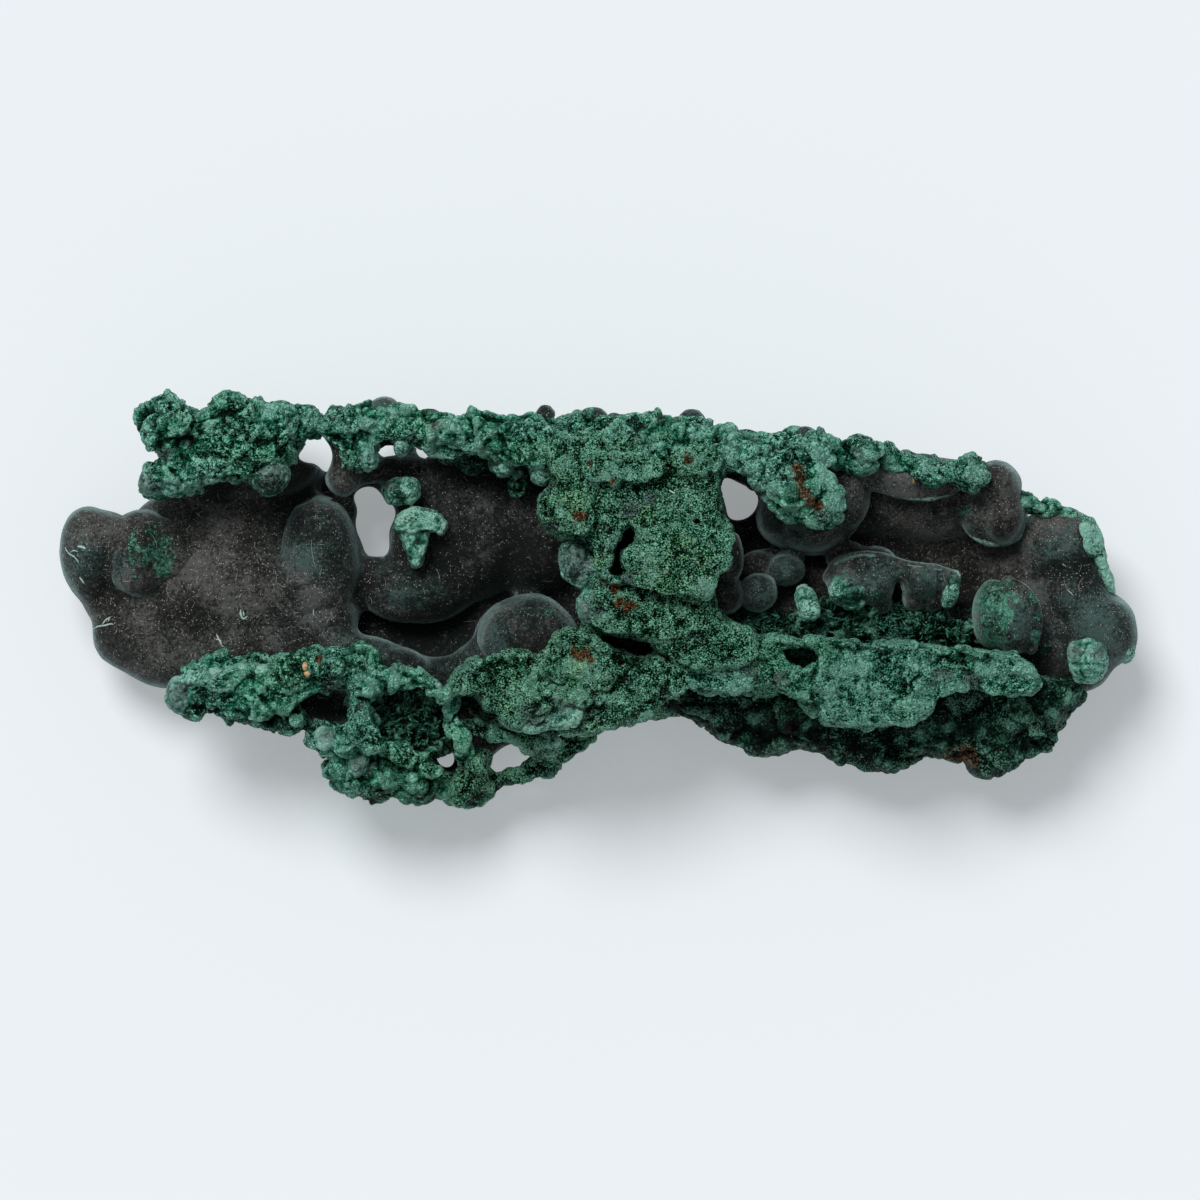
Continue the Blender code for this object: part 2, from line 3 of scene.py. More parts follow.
import bmesh
import bpy
import numpy as np
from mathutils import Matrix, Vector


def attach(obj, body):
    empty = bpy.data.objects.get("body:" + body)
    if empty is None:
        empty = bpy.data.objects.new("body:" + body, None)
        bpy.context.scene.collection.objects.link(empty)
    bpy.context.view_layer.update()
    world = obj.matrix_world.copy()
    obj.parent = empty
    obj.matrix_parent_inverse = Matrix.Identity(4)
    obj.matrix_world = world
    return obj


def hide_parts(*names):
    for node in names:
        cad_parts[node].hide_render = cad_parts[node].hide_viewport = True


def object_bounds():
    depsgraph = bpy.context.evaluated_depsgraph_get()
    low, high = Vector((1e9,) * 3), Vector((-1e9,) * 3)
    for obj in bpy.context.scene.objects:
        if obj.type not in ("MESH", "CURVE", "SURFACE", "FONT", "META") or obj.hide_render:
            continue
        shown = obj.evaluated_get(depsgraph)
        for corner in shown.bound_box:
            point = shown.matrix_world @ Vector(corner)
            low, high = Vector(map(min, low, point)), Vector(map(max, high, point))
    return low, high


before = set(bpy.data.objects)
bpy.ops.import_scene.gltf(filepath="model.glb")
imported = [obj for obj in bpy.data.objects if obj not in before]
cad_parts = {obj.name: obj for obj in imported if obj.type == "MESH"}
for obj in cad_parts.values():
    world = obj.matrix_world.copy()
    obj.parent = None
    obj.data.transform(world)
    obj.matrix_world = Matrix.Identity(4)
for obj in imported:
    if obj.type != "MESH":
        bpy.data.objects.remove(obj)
cadBox = [list(corner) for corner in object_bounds()]
longSide = 216.1  # of the whole specimen, in millimetres
mm = (cadBox[1][0] - cadBox[0][0]) / longSide  # one millimetre of it, in the scene's metres
print("frame loaded: %.0f x %.0f x %.0f mm" % tuple(1000 * (high - low) for low, high in zip(*cadBox)))


# noise, worked out for whole arrays of points at once

def hashed(cells, seed):
    # a repeatable number from 0 to 1 for each whole-number place
    x, y, z = (cells[..., k].astype(np.int64) for k in range(3))
    mixed = (x * 73856093) ^ (y * 19349663) ^ (z * 83492791) ^ (seed * 40503001)
    mixed = (mixed ^ (mixed >> 13)) * 1274126177
    mixed = mixed ^ (mixed >> 16)
    return (mixed & 0xFFFFFF) / 0x1000000


def cloud(points, size, seed):
    # smooth noise from -1 to 1: a random value at each corner of a lattice of that size, eased between them
    scaled = points / size
    base = np.floor(scaled)
    ease = (scaled - base) ** 2 * (3 - 2 * (scaled - base))
    total = np.zeros(len(points))
    for corner in np.ndindex(2, 2, 2):
        weight = np.prod(np.where(corner, ease, 1 - ease), axis=1)
        total += weight * hashed(base + corner, seed)
    return 2 * total - 1


def clumps(points, size, seed):
    # scattered centres that size apart: the vector from the nearest centre, how much farther the next one is
    # (0 in the crack between two clumps), both counted in the size, and a random number for each clump
    scaled = points / size
    base = np.floor(scaled)
    nearest = np.full(len(points), 9.0)
    second = np.full(len(points), 9.0)
    owner = np.zeros(len(points))
    away = np.zeros((len(points), 3))
    for step in np.ndindex(3, 3, 3):
        cells = base + step - 1
        centres = cells + 0.1 + 0.8 * np.stack([hashed(cells, seed + k) for k in range(3)], axis=1)
        gap = np.linalg.norm(scaled - centres, axis=1)
        closer = gap < nearest
        second = np.where(closer, nearest, np.minimum(second, gap))
        owner = np.where(closer, hashed(cells, seed + 3), owner)
        away = np.where(closer[:, None], scaled - centres, away)
        nearest = np.minimum(nearest, gap)
    return away, second - nearest, owner


def fanPlace(away, owner):
    # a place that stays the same along every line out of a clump's centre, so noise read there runs in rays
    return 3.0 * away / (np.linalg.norm(away, axis=1, keepdims=True) + 0.05) + 40 * owner[:, None]


def relief(kind, points, size, seed):
    # the lift of each point, about -1 to 1, for one kind of surface
    if kind == "waves":
        return cloud(points, size, seed)
    drift = np.stack([cloud(points, 0.8 * size, seed + 20 + k) for k in range(3)], axis=1)
    bent = points + 0.3 * size * drift
    if kind == "creases":  # sharp ridges where the noise crosses zero
        return 0.6 - 2 * np.abs(cloud(bent, size, seed))
    away, crack, owner = clumps(bent, size, seed)
    if kind == "domes":  # a parabola over each centre, with a crack between
        return 0.6 - 1.3 * np.sum(away**2, axis=1) - 0.6 * np.exp(-7 * crack) + 0.6 * (owner - 0.5)
    if kind == "slants":  # each clump is a plane tilted its own way
        tilt = 2 * np.stack([(owner * turn) % 1 for turn in (17.3, 41.7, 93.1)], axis=1) - 1
        return 1.5 * np.einsum("ij,ij->i", away, tilt) + 0.8 * (owner - 0.5) - 0.5 * np.exp(-10 * crack)
    # "rays" from each centre, fading in with the distance from it
    fade = np.clip(2.2 * np.linalg.norm(away, axis=1), 0, 1)
    return fade * (0.7 - 2.2 * np.abs(cloud(fanPlace(away, owner), 1.0, seed + 9)))


# forms: each is a stack of closed rings, an array of (rings, points round a ring, 3) in millimetres

def lobeRings(centre, half, seed):
    # longitude u, latitude v: centre + half x (cos v cos u, cos v sin u, sin v), swollen in places by noise
    rings, around = 15, 28
    u = np.linspace(0, 2 * math.pi, around, endpoint=False)[None, :]
    v = np.linspace(-1.5, 1.5, rings)[:, None]
    unit = np.stack(np.broadcast_arrays(np.cos(v) * np.cos(u), np.cos(v) * np.sin(u), np.sin(v)), axis=-1)
    swell = 1 + 0.05 * cloud((unit * 1.3 + seed * 7.1).reshape(-1, 3), 1.0, seed).reshape(rings, around, 1)
    return np.array(centre) + np.array(half) * unit * swell


def smoothPath(points, steps):
    # the curve through the points by Catmull-Rom spans: a cubic blend of four points for each span
    points = np.array(points, dtype=float)
    padded = np.vstack([2 * points[0] - points[1], points, 2 * points[-1] - points[-2]])
    t = np.linspace(0, 1, steps, endpoint=False)[:, None]
    spans = [
        0.5 * (2 * b + (c - a) * t + (2 * a - 5 * b + 4 * c - d) * t**2 + (3 * b - a - 3 * c + d) * t**3)
        for a, b, c, d in zip(padded, padded[1:], padded[2:], padded[3:])
    ]
    return np.vstack(spans + [points[-1:]])


def unitRows(vectors):
    return vectors / np.linalg.norm(vectors, axis=1, keepdims=True)


def ridgeRings(path):
    # a circle carried along the path and turned to face along it, its radius given at each point
    # (x, y, z, radius) and drawn in at both ends as a dome
    curve = smoothPath(path, 5)
    ahead = unitRows(np.gradient(curve[:, :3], axis=0))
    side = unitRows(np.cross(ahead, [0.13, 0.21, 1.0]))
    lift = np.cross(side, ahead)
    bend = np.linspace(0, math.pi / 2, 5)[:-1]
    domes = []
    for end, sign in ((0, -1), (-1, 1)):
        shift = curve[end, 3] * np.sin(bend) * sign
        axes = [np.repeat(axis[[end]], len(bend), axis=0) for axis in (side, lift)]
        domes.append((curve[end, :3] + shift[:, None] * ahead[end], curve[end, 3] * np.cos(bend), *axes))
    spine, radius, side, lift = (
        np.concatenate([first[::-1][:-1], body, last[1:]])
        for first, body, last in zip(domes[0], (curve[:, :3], curve[:, 3], side, lift), domes[1])
    )
    u = np.linspace(0, 2 * math.pi, 18, endpoint=False)[None, :, None]
    return spine[:, None] + radius[:, None, None] * (side[:, None] * np.cos(u) + lift[:, None] * np.sin(u))


def heightOver(plane, flat):
    # a level plane is one number, a leaning one is its height at the origin and its slopes along x and y
    level, *slopes = plane if isinstance(plane, tuple) else (plane, 0, 0)
    return level + flat @ np.array(slopes)


def plateRings(outline, top, bottom, worn, inset=0.0):
    # a rounded profile carried round the outline: how far in from it, and how far up from bottom to top
    profile = ((1.0, 0.0), (0.3, 0.08), (0.0, 0.3), (0.0, 0.75), (0.3, 0.92), (1.0, 1.0))
    closed = np.array(outline, dtype=float)
    x, y = closed.T
    if np.sum(x * np.roll(y, -1) - y * np.roll(x, -1)) <= 0:
        closed = closed[::-1]
    curve = smoothPath(np.vstack([closed[-1:], closed, closed[:2]]), 3)[3:-4]
    along = np.roll(curve, -1, axis=0) - np.roll(curve, 1, axis=0)
    inward = unitRows(np.stack([-along[:, 1], along[:, 0]], axis=1))
    curve = curve + inward * inset
    rings = []
    for drawnIn, rise in profile:
        flat = curve + inward * drawnIn * worn
        low, high = heightOver(bottom, flat), heightOver(top, flat)
        rings.append(np.column_stack([flat, low + (high - low) * rise]))
    return np.array(rings)


def ringFaces(rings, around, first):
    # quads between each ring and the next, and one face across each end
    place = np.arange(around)
    start = first + around * np.arange(rings - 1)[:, None]
    ahead = np.roll(place, -1)
    quads = np.stack([start + place, start + ahead, start + around + ahead, start + around + place], axis=-1)
    ends = [(first + place[::-1]).tolist(), (first + around * (rings - 1) + place).tolist()]
    return quads.reshape(-1, 4).tolist() + ends


def formsOf(look):
    # lobes are (centre, half size), ridges are paths, and plates are (outline, top, bottom), at times with
    # how far their own edge is worn
    stacks = [lobeRings(*lobe, seed) for seed, lobe in enumerate(look.get("lobes", []))]
    stacks += [ridgeRings(path) for path in look.get("ridges", [])]
    for outline, top, bottom, *worn in look.get("plates", []):
        stacks.append(plateRings(outline, top, bottom, *(worn or [look["worn"]])))
    return stacks


def pieceFromRings(name, stacks):
    faces = []
    first = 0
    for rings in stacks:
        faces += ringFaces(rings.shape[0], rings.shape[1], first)
        first += rings.shape[0] * rings.shape[1]
    mesh = bpy.data.meshes.new(name)
    mesh.from_pydata(np.concatenate([rings.reshape(-1, 3) for rings in stacks]) * mm, [], faces)
    shell = bmesh.new()
    shell.from_mesh(mesh)
    bmesh.ops.recalc_face_normals(shell, faces=shell.faces)
    shell.to_mesh(mesh)
    shell.free()
    piece = bpy.data.objects.new(name, mesh)
    bpy.context.scene.collection.objects.link(piece)
    return piece


# reading and moving a piece's points as arrays

def readRows(items, name, width, kind=np.float32):
    flat = np.empty(len(items) * width, dtype=kind)
    items.foreach_get(name, flat)
    return flat.reshape(-1, width)


def pointsOf(mesh):
    return readRows(mesh.vertices, "co", 3).astype(float) / mm


def setPoints(mesh, points):
    mesh.vertices.foreach_set("co", (points * mm).astype(np.float32).ravel())
    mesh.update()


def normalsOf(mesh):
    return readRows(mesh.vertex_normals, "vector", 3).astype(float)


def relaxed(points, edges, rounds):
    # each round moves every point half way to the mean of its neighbours
    count = np.bincount(edges.ravel(), minlength=len(points))
    for _ in range(rounds):
        total = [
            np.bincount(edges[:, 0], points[edges[:, 1], k], len(points))
            + np.bincount(edges[:, 1], points[edges[:, 0], k], len(points))
            for k in range(points.shape[1])
        ]
        points = 0.5 * points + 0.5 * np.stack(total, axis=1) / count[:, None]
    return points


def setAttribute(mesh, name, values):
    layer = mesh.attributes.new(name, "FLOAT", "POINT")
    layer.data.foreach_set("value", np.clip(values, 0, 1).astype(np.float32))


def applied(piece):
    # turns the piece's modifiers into plain mesh
    graph = bpy.context.evaluated_depsgraph_get()
    mesh = bpy.data.meshes.new_from_object(piece.evaluated_get(graph))
    piece.modifiers.clear()
    piece.data = mesh


def fuse(piece, cell):
    # melts overlapping forms into one closed skin of even cells
    skin = piece.modifiers.new("skin", "REMESH")
    skin.mode = "VOXEL"
    skin.voxel_size = cell * mm
    applied(piece)


def spotMask(points, spots, seed):
    # 1 inside each spot (x, y, radius) and 0 outside, with a ragged edge
    mask = np.zeros(len(points))
    rag = 0.45 * cloud(points, 1.3, seed) + 0.25 * cloud(points, 0.6, seed + 1)
    for x, y, radius in spots:
        away = np.hypot(points[:, 0] - x, points[:, 1] - y) / radius
        mask = np.maximum(mask, np.clip(2.2 * (1 - away + rag), 0, 1))
    return mask


def pierce(piece, look):
    # cuts straight ways through a skin, (outline, height that each stops at), and evens out its cells again;
    # room widens every way to allow for the relief that grows into it
    overTheTop = 60
    cutter = pieceFromRings("cutter", [
        plateRings(outline, overTheTop, stop, 0, -look["room"]) for outline, stop in look["windows"]])
    cut = piece.modifiers.new("windows", "BOOLEAN")
    cut.object = cutter
    applied(piece)
    bpy.data.objects.remove(cutter)
    fuse(piece, look["cell"])


# what every piece shares unless its own dictionary says otherwise: its cells, the room round its windows,
# the rounds that soften it, how far its plates' edges are worn, the heights that count as rim, crest and
# brow, the size of its fans, and how far fine relief rests in quiet patches and calms down on rounded brows;
# the rounds are those of relaxing that leave the surface which crests, slopes and brows are measured against
growth = {
    "cell": 0.42, "room": 0.9, "soften": 2, "worn": 1.6, "rimBulge": 0.25, "crestHeight": 0.5,
    "browHeight": 2.2, "fanSize": 4.0, "fanSeed": 5, "lowest": 0.05, "rest": 0.0, "calm": 0.0,
    "restBelow": 3.5, "calmBelow": 3.0, "calmHeight": 0.5, "quietPatch": 6.5, "quietFleck": 2.5,
    "quietSeed": 97, "crestRounds": 3, "slopeRounds": 6, "calmRounds": 16, "browRounds": 24,
    "rimSlope": 0.26, "rimSpread": 0.15,
}
# the darkening spots among these are painted shade in hollows, crevices, undersides and flanks turned from
# the light
markSeeds = {"rust": 51, "mint": 54, "greyAndPaintedLight": 57, "glow": 60, "paintedShade": 63}  # spots of each: (x, y, radius)


def grow(name, own, finish):
    # fuses the piece's forms, raises its relief along the normals, and notes what its finish reads
    look = {**growth, **own}
    piece = pieceFromRings(name, formsOf(look))
    fuse(piece, look["cell"])
    if "windows" in look:
        pierce(piece, look)
    mesh = piece.data
    edges = readRows(mesh.edges, "vertices", 2, np.int32)

    def bulge(rounds):
        # how far each point stands out of the surface that those rounds would leave
        return np.einsum("ij,ij->i", points - relaxed(points, edges, rounds), normalsOf(mesh))

    points = relaxed(pointsOf(mesh), edges, look["soften"])
    patches = cloud(points, look["quietPatch"], look["quietSeed"])
    flecks = cloud(points, look["quietFleck"], look["quietSeed"] + 1)
    quiet = np.clip(0.45 + 1.6 * patches + 0.5 * flecks, 0, 1)
    for kind, size, height, seed in look["relief"]:
        setPoints(mesh, points)
        kept = 1 - look["rest"] * quiet if size < look["restBelow"] else 1.0
        if size < look["calmBelow"] and look["calm"]:
            kept = kept * (1 - look["calm"] * np.clip(bulge(look["calmRounds"]) / look["calmHeight"], 0, 1))
        points = points + normalsOf(mesh) * (kept * height * relief(kind, points, size, seed))[:, None]
    points = relaxed(points, edges, 1)
    points[:, 2] = np.maximum(points[:, 2], look["lowest"])
    setPoints(mesh, relaxed(points, edges, look["slopeRounds"]))
    # the rim mark picks out where the surface turns steeply down at a lobe's edge, for a painted sheen
    # highlight there
    upward = normalsOf(mesh)[:, 2]
    setPoints(mesh, points)
    # crest, edge and brow measure how far each point stands out, finely and broadly; the finishes paint shade
    # into pits and hollows and highlight onto crests, brows and edges by them
    fine, broad = bulge(look["crestRounds"]), bulge(look["browRounds"])
    turning = np.exp(-((upward - look["rimSlope"]) / look["rimSpread"]) ** 2)
    setAttribute(mesh, "rim", turning * np.clip(broad / look["rimBulge"], 0, 1))
    setAttribute(mesh, "edge", broad / look["browHeight"])
    setAttribute(mesh, "crest", 0.5 + fine / look["crestHeight"])
    setAttribute(mesh, "brow", 0.5 + broad / look["browHeight"])
    setAttribute(mesh, "quiet", quiet)
    for mark, seed in markSeeds.items():
        setAttribute(mesh, mark, spotMask(points, look.get(mark, []), seed))
    away, crack, owner = clumps(points, look["fanSize"], look["fanSeed"])
    setAttribute(mesh, "clump", owner)
    rays = mesh.attributes.new("rays", "FLOAT_VECTOR", "POINT")
    rays.data.foreach_set("vector", fanPlace(away, owner).astype(np.float32).ravel())
    mesh.shade_smooth()
    print("%s: %d faces" % (name, len(mesh.polygons)))
    put(piece, finish)


grown = []


def put(piece, finish):
    # gives a piece its finish and its body, and hides the CAD part that it stands for
    grown.append(piece)
    piece.data.materials.clear()
    piece.data.materials.append(finish)
    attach(piece, "root")
    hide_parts("malachite")


# finishes

class NodeTree:
    # a material's nodes: a number or colour for a socket is set on it, and another node's output is linked

    def __init__(self, name):
        self.material = bpy.data.materials.new(name)
        self.material.use_nodes = True
        self.nodes = self.material.node_tree.nodes
        self.place = self.add("TexCoord").outputs["Object"]

    def feed(self, node, sockets):
        for name, value in sockets.items():
            socket = node.inputs[name]
            if isinstance(value, bpy.types.NodeSocket):
                self.material.node_tree.links.new(value, socket)
            else:
                socket.default_value = (*value, 1) if socket.type == "RGBA" else value

    def add(self, kind, sockets={}, **settings):
        node = self.nodes.new("ShaderNode" + kind)
        for setting, value in settings.items():
            setattr(node, setting, value)
        self.feed(node, sockets)
        return node

    def shade(self, sockets):
        self.feed(self.nodes["Principled BSDF"], sockets)
        return self.material

    def noise(self, scale, detail, roughness, place=None, output="Fac"):
        sockets = {"Scale": scale, "Detail": detail, "Roughness": roughness, "Vector": place or self.place}
        return self.add("TexNoise", sockets).outputs[output]

    def grains(self, scale, place=None, feature="F1"):
        sockets = {"Scale": scale, "Vector": place or self.place}
        return self.add("TexVoronoi", sockets, feature=feature).outputs

    def mark(self, name, output="Fac"):
        return self.add("Attribute", attribute_name=name).outputs[output]

    def math(self, operation, first, second):
        return self.add("Math", {0: first, 1: second}, operation=operation).outputs[0]

    def times(self, first, second):
        return self.math("MULTIPLY", first, second)

    def most(self, first, second):
        return self.math("MAXIMUM", first, second)

    def total(self, start, *shares):
        # start plus each value's distance from its own middle, times its share
        for value, middle, share in shares:
            start = self.math("ADD", start, self.times(self.math("SUBTRACT", value, middle), share))
        return start

    def ramp(self, value, *stops):
        ramp = self.add("ValToRGB", {"Fac": value})
        band = ramp.color_ramp.elements
        while len(band) < len(stops):
            band.new(0.5)
        for element, (position, colour) in zip(band, stops):
            element.position = position
            element.color = (*colour, 1) if isinstance(colour, tuple) else (colour, colour, colour, 1)
        return ramp.outputs["Color"]

    def rising(self, value, start, end):
        return self.ramp(value, (start, 0.0), (end, 1.0))

    def falling(self, value, start, end):
        return self.ramp(value, (start, 1.0), (end, 0.0))

    def mix(self, share, first, second, blend="MIX"):
        sockets = {0: share, 6: first, 7: second}
        return self.add("Mix", sockets, data_type="RGBA", blend_type=blend).outputs[2]

    def tinted(self, share, colour, tint):
        return self.mix(share, colour, self.mix(1.0, colour, tint, "MULTIPLY"))

    def split(self, colour):
        return self.add("SeparateColor", {0: colour}).outputs

    def flakes(self, scale):
        # ragged flakes from cells bent by noise: the way in from a flake's edge, and a random number for each
        bend = self.noise(1.4 * scale, 3.0, 0.5, output="Color")
        bent = self.add(
            "VectorMath", {0: bend, 1: (2.6 / scale, 2.6 / scale, 2.6 / scale), 2: self.place},
            operation="MULTIPLY_ADD").outputs[0]
        inward = self.grains(scale, bent, "DISTANCE_TO_EDGE")["Distance"]
        return inward, self.split(self.grains(scale, bent)["Color"])[0]

    def specks(self, scale, reach, kept):
        # small round specks in a share of the cells, some bright and most faint
        cells = self.grains(scale)
        chances = self.split(cells["Color"])
        near = self.math("LESS_THAN", cells["Distance"], reach)
        chosen = self.math("LESS_THAN", chances[0], kept)
        return self.times(self.times(near, chosen), self.math("POWER", chances[1], 2.5))

    def bump(self, height, strength, distance):
        sockets = {"Height": height, "Strength": strength, "Distance": distance}
        return self.add("Bump", sockets).outputs["Normal"]


# what all the crusts' finishes share unless they say otherwise: patch, drift, crowd, ashes, grains, dust,
# holes and flakes are cells a metre, a share is how much a thing counts, and an edge is where its ramp runs
# from and to
crustBase = {
    "levels": (0.18, 0.36, 0.52, 0.67, 0.86), "patch": 150.0, "drift": 48.0, "crowd": 210.0, "ashes": 110.0,
    "holeEdge": (0.37, 0.44), "crackEdge": (0.01, 0.07), "driftEdge": (0.44, 0.62), "ashEdge": (0.53, 0.70),
    "paintedShadeShare": -0.30, "glowShare": 0.75, "greyAndPaintedLightShare": 0.9, "mintCover": 0.6, "bumpDepth": 0.0005,
    "ashPit": (0.006, 0.012, 0.011), "ashCrest": (0.20, 0.30, 0.27), "rustPit": (0.012, 0.007, 0.004),
    "rustCrest": (0.42, 0.21, 0.09), "palePit": (0.006, 0.050, 0.032), "pale": (0.060, 0.260, 0.175),
    "paleCrest": (0.26, 0.62, 0.49), "glint": (0.66, 0.76, 0.70), "sheenTint": (0.45, 0.85, 0.68),
    "rays": 1.8, "rust": (0.150, 0.055, 0.020), "sheen": 0.0, "roughness": 0.5, "bump": 1.0, "gloss": 0.14,
    "mintShare": 0.20, "quiet": 0.5, "patchShare": 1.3, "edgeShare": 0.5,
}


def crustMaterial(name, own):
    # painted shade in the pits and painted highlight on the crests and edges, by the relief itself, under
    # holes, cracks, grains, rays and drifting hue
    look = {**crustBase, **own}
    tree = NodeTree(name)
    grain = tree.grains(look["grains"])["Distance"]
    dust = tree.noise(look["dust"], 1.0, 0.5)
    patch = tree.noise(look["patch"], 5.0, 0.68)
    streaks = tree.noise(look["rays"], 2.0, 0.6, tree.mark("rays", "Vector"))
    holes = tree.falling(tree.noise(look["holes"], 3.0, 0.6), *look["holeEdge"])
    holes = tree.times(holes, tree.ramp(tree.noise(look["crowd"], 2.0, 0.5), (0.40, 0.1), (0.62, 1.0)))
    inward, flake = tree.flakes(look["flakes"])
    cracks = tree.falling(inward, *look["crackEdge"])
    # painted highlight: a bright line just inside each flake's edge
    paintedFlakeRims = tree.ramp(inward, (0.05, 0.0), (0.11, 1.0), (0.24, 0.0))
    # in this sum, holes and cracks darken as painted shade in pits and crevices too small for the mesh, which
    # the bump dents too
    fine = tree.total(
        0.0, (grain, 0.45, -look["grainShare"]), (dust, 0.5, look["dustShare"]),
        (streaks, 0.5, look["streakShare"]), (holes, 0.0, -look["holeShare"]),
        (cracks, 0.0, -look["crackShare"]), (paintedFlakeRims, 0.0, look["paintedFlakeRimShare"]), (flake, 0.5, look["flakeShare"]))
    busy = tree.times(tree.ramp(tree.mark("quiet"), (0.15, 1.0), (0.75, look["quiet"])), fine)
    level = tree.total(
        look["level"], (tree.mark("crest"), 0.5, look["crestShare"]),
        (tree.mark("brow"), 0.5, look["browShare"]), (tree.mark("clump"), 0.5, look["clumpShare"]),
        (patch, 0.5, look["patchShare"]), (busy, 0.0, 1.0),
        # darker in the spots of painted shade; the mint spots are the crust's own paler green
        (tree.mark("paintedShade"), 0.0, look["paintedShadeShare"]), (tree.mark("mint"), 0.0, look["mintShare"]))
    colour = tree.ramp(level, *zip(look["levels"], look["stops"]))
    warmth = tree.rising(tree.noise(look["drift"], 2.0, 0.5), *look["driftEdge"])
    warmth = tree.times(warmth, look["warmShare"])
    warmth = tree.most(warmth, tree.times(tree.mark("glow"), look["glowShare"]))
    colour = tree.tinted(warmth, colour, look["warmTint"])
    ash = tree.times(tree.rising(tree.noise(look["ashes"], 3.0, 0.6), *look["ashEdge"]), look["greyShare"])
    # on the crusts the grey spots are only the crust's own grey tone
    ash = tree.most(ash, tree.times(tree.mark("greyAndPaintedLight"), look["greyAndPaintedLightShare"]))
    ashen = tree.ramp(level, (0.2, look["ashPit"]), (0.5, look["grey"]), (0.9, look["ashCrest"]))
    colour = tree.mix(ash, colour, ashen)
    # paler on convex edges as a painted highlight, and in the mint spots, which are the crust's own paler
    # green
    pale = tree.times(tree.mark("edge"), look["edgeShare"])
    pale = tree.most(pale, tree.times(tree.mark("mint"), look["mintCover"]))
    paled = tree.ramp(level, (0.2, look["palePit"]), (0.5, look["pale"]), (0.9, look["paleCrest"]))
    colour = tree.mix(pale, colour, paled)
    rust = tree.total(tree.mark("rust"), (holes, 0.0, -0.7), (dust, 0.5, 1.2))
    rusted = tree.ramp(dust, (0.42, look["rustPit"]), (0.54, look["rust"]), (0.66, look["rustCrest"]))
    colour = tree.mix(tree.times(rust, tree.mark("rust")), colour, rusted)
    # painted glints: a few pale specks laid into the base colour
    for scale, reach, share in ((1150, 0.18, 1.0), (520, 0.11, 0.5)):
        colour = tree.mix(tree.specks(scale, reach, share * look["glints"]), colour, look["glint"])
    height = tree.total(
        0.5, (grain, 0.45, -1.0), (dust, 0.5, 1.4), (streaks, 0.5, 1.0), (holes, 0.0, -1.2),
        (cracks, 0.0, -0.8))
    return tree.shade({
        "Base Color": colour, "Roughness": tree.total(look["roughness"], (dust, 0.5, 0.8)),
        "Sheen Weight": look["sheen"], "Sheen Roughness": 0.4, "Sheen Tint": look["sheenTint"],
        "Specular IOR Level": look["gloss"], "Normal": tree.bump(height, look["bump"], look["bumpDepth"])})


# colours run from pit to crest, so their dark and bright ends carry the relief's painted shade and painted
# highlight
brightCrust = {
    "stops": [(0.001, 0.007, 0.004), (0.004, 0.048, 0.026), (0.018, 0.172, 0.096), (0.066, 0.4, 0.25),
        (0.31, 0.71, 0.55)],
    "warmTint": (0.9, 1.05, 0.72), "warmShare": 0.35, "grey": (0.062, 0.135, 0.11), "greyShare": 0.4,
    "rust": (0.15, 0.055, 0.02), "grains": 1700, "dust": 2300, "holes": 520, "flakes": 430, "rays": 1.7,
    "level": 0.61, "crestShare": 0.62, "browShare": 0.5, "clumpShare": 0.22, "grainShare": 0.2,
    "dustShare": 1.1, "streakShare": 2, "holeShare": 0.34, "crackShare": 0.46, "paintedFlakeRimShare": 0.16,
    "flakeShare": 0.34, "glints": 0.26, "quiet": 0.35, "roughness": 0.45,
}
mossCrust = {
    "stops": [(0.001, 0.006, 0.003), (0.005, 0.038, 0.019), (0.022, 0.162, 0.084), (0.09, 0.43, 0.24),
        (0.35, 0.77, 0.56)],
    "warmTint": (1.25, 1.06, 0.78), "warmShare": 0.35, "grey": (0.055, 0.115, 0.09), "greyShare": 0.35,
    "rust": (0.17, 0.058, 0.02), "grains": 2600, "dust": 3000, "holes": 900, "flakes": 620, "rays": 1.7,
    "level": 0.625, "crestShare": 0.55, "browShare": 0.5, "clumpShare": 0.14, "grainShare": 0.5,
    "dustShare": 2.6, "streakShare": 0.3, "holeShare": 0.45, "crackShare": 0.12, "paintedFlakeRimShare": 0.05,
    "flakeShare": 0.12, "edgeShare": 1.2, "glints": 0.32, "quiet": 0.8, "mintShare": 0.34, "gloss": 0.12,
}
shelfLook = {
    **brightCrust, "grains": 2200, "dust": 2600, "holes": 760, "flakes": 560, "rays": 2.2, "level": 0.665,
    "dustShare": 2, "crackShare": 0.24, "flakeShare": 0.18, "streakShare": 1.2, "greyShare": 0.25,
    "edgeShare": 0.9, "mintShare": 0.28, "quiet": 0.75,
}
deepCrust = {
    "stops": [(0.001, 0.003, 0.002), (0.002, 0.012, 0.007), (0.006, 0.044, 0.025), (0.028, 0.145, 0.088),
        (0.18, 0.44, 0.32)],
    "warmTint": (1, 1, 0.8), "warmShare": 0.3, "grey": (0.02, 0.038, 0.032), "greyShare": 0.3,
    "rust": (0.1, 0.034, 0.014), "grains": 2100, "dust": 2600, "holes": 700, "flakes": 480, "rays": 2,
    "level": 0.53, "crestShare": 0.4, "browShare": 0.35, "clumpShare": 0.14, "grainShare": 0.3,
    "dustShare": 1.9, "streakShare": 0.8, "holeShare": 0.25, "crackShare": 0.16, "paintedFlakeRimShare": 0.06,
    "flakeShare": 0.2, "edgeShare": 0.2, "glints": 0.16, "bump": 0.9,
}
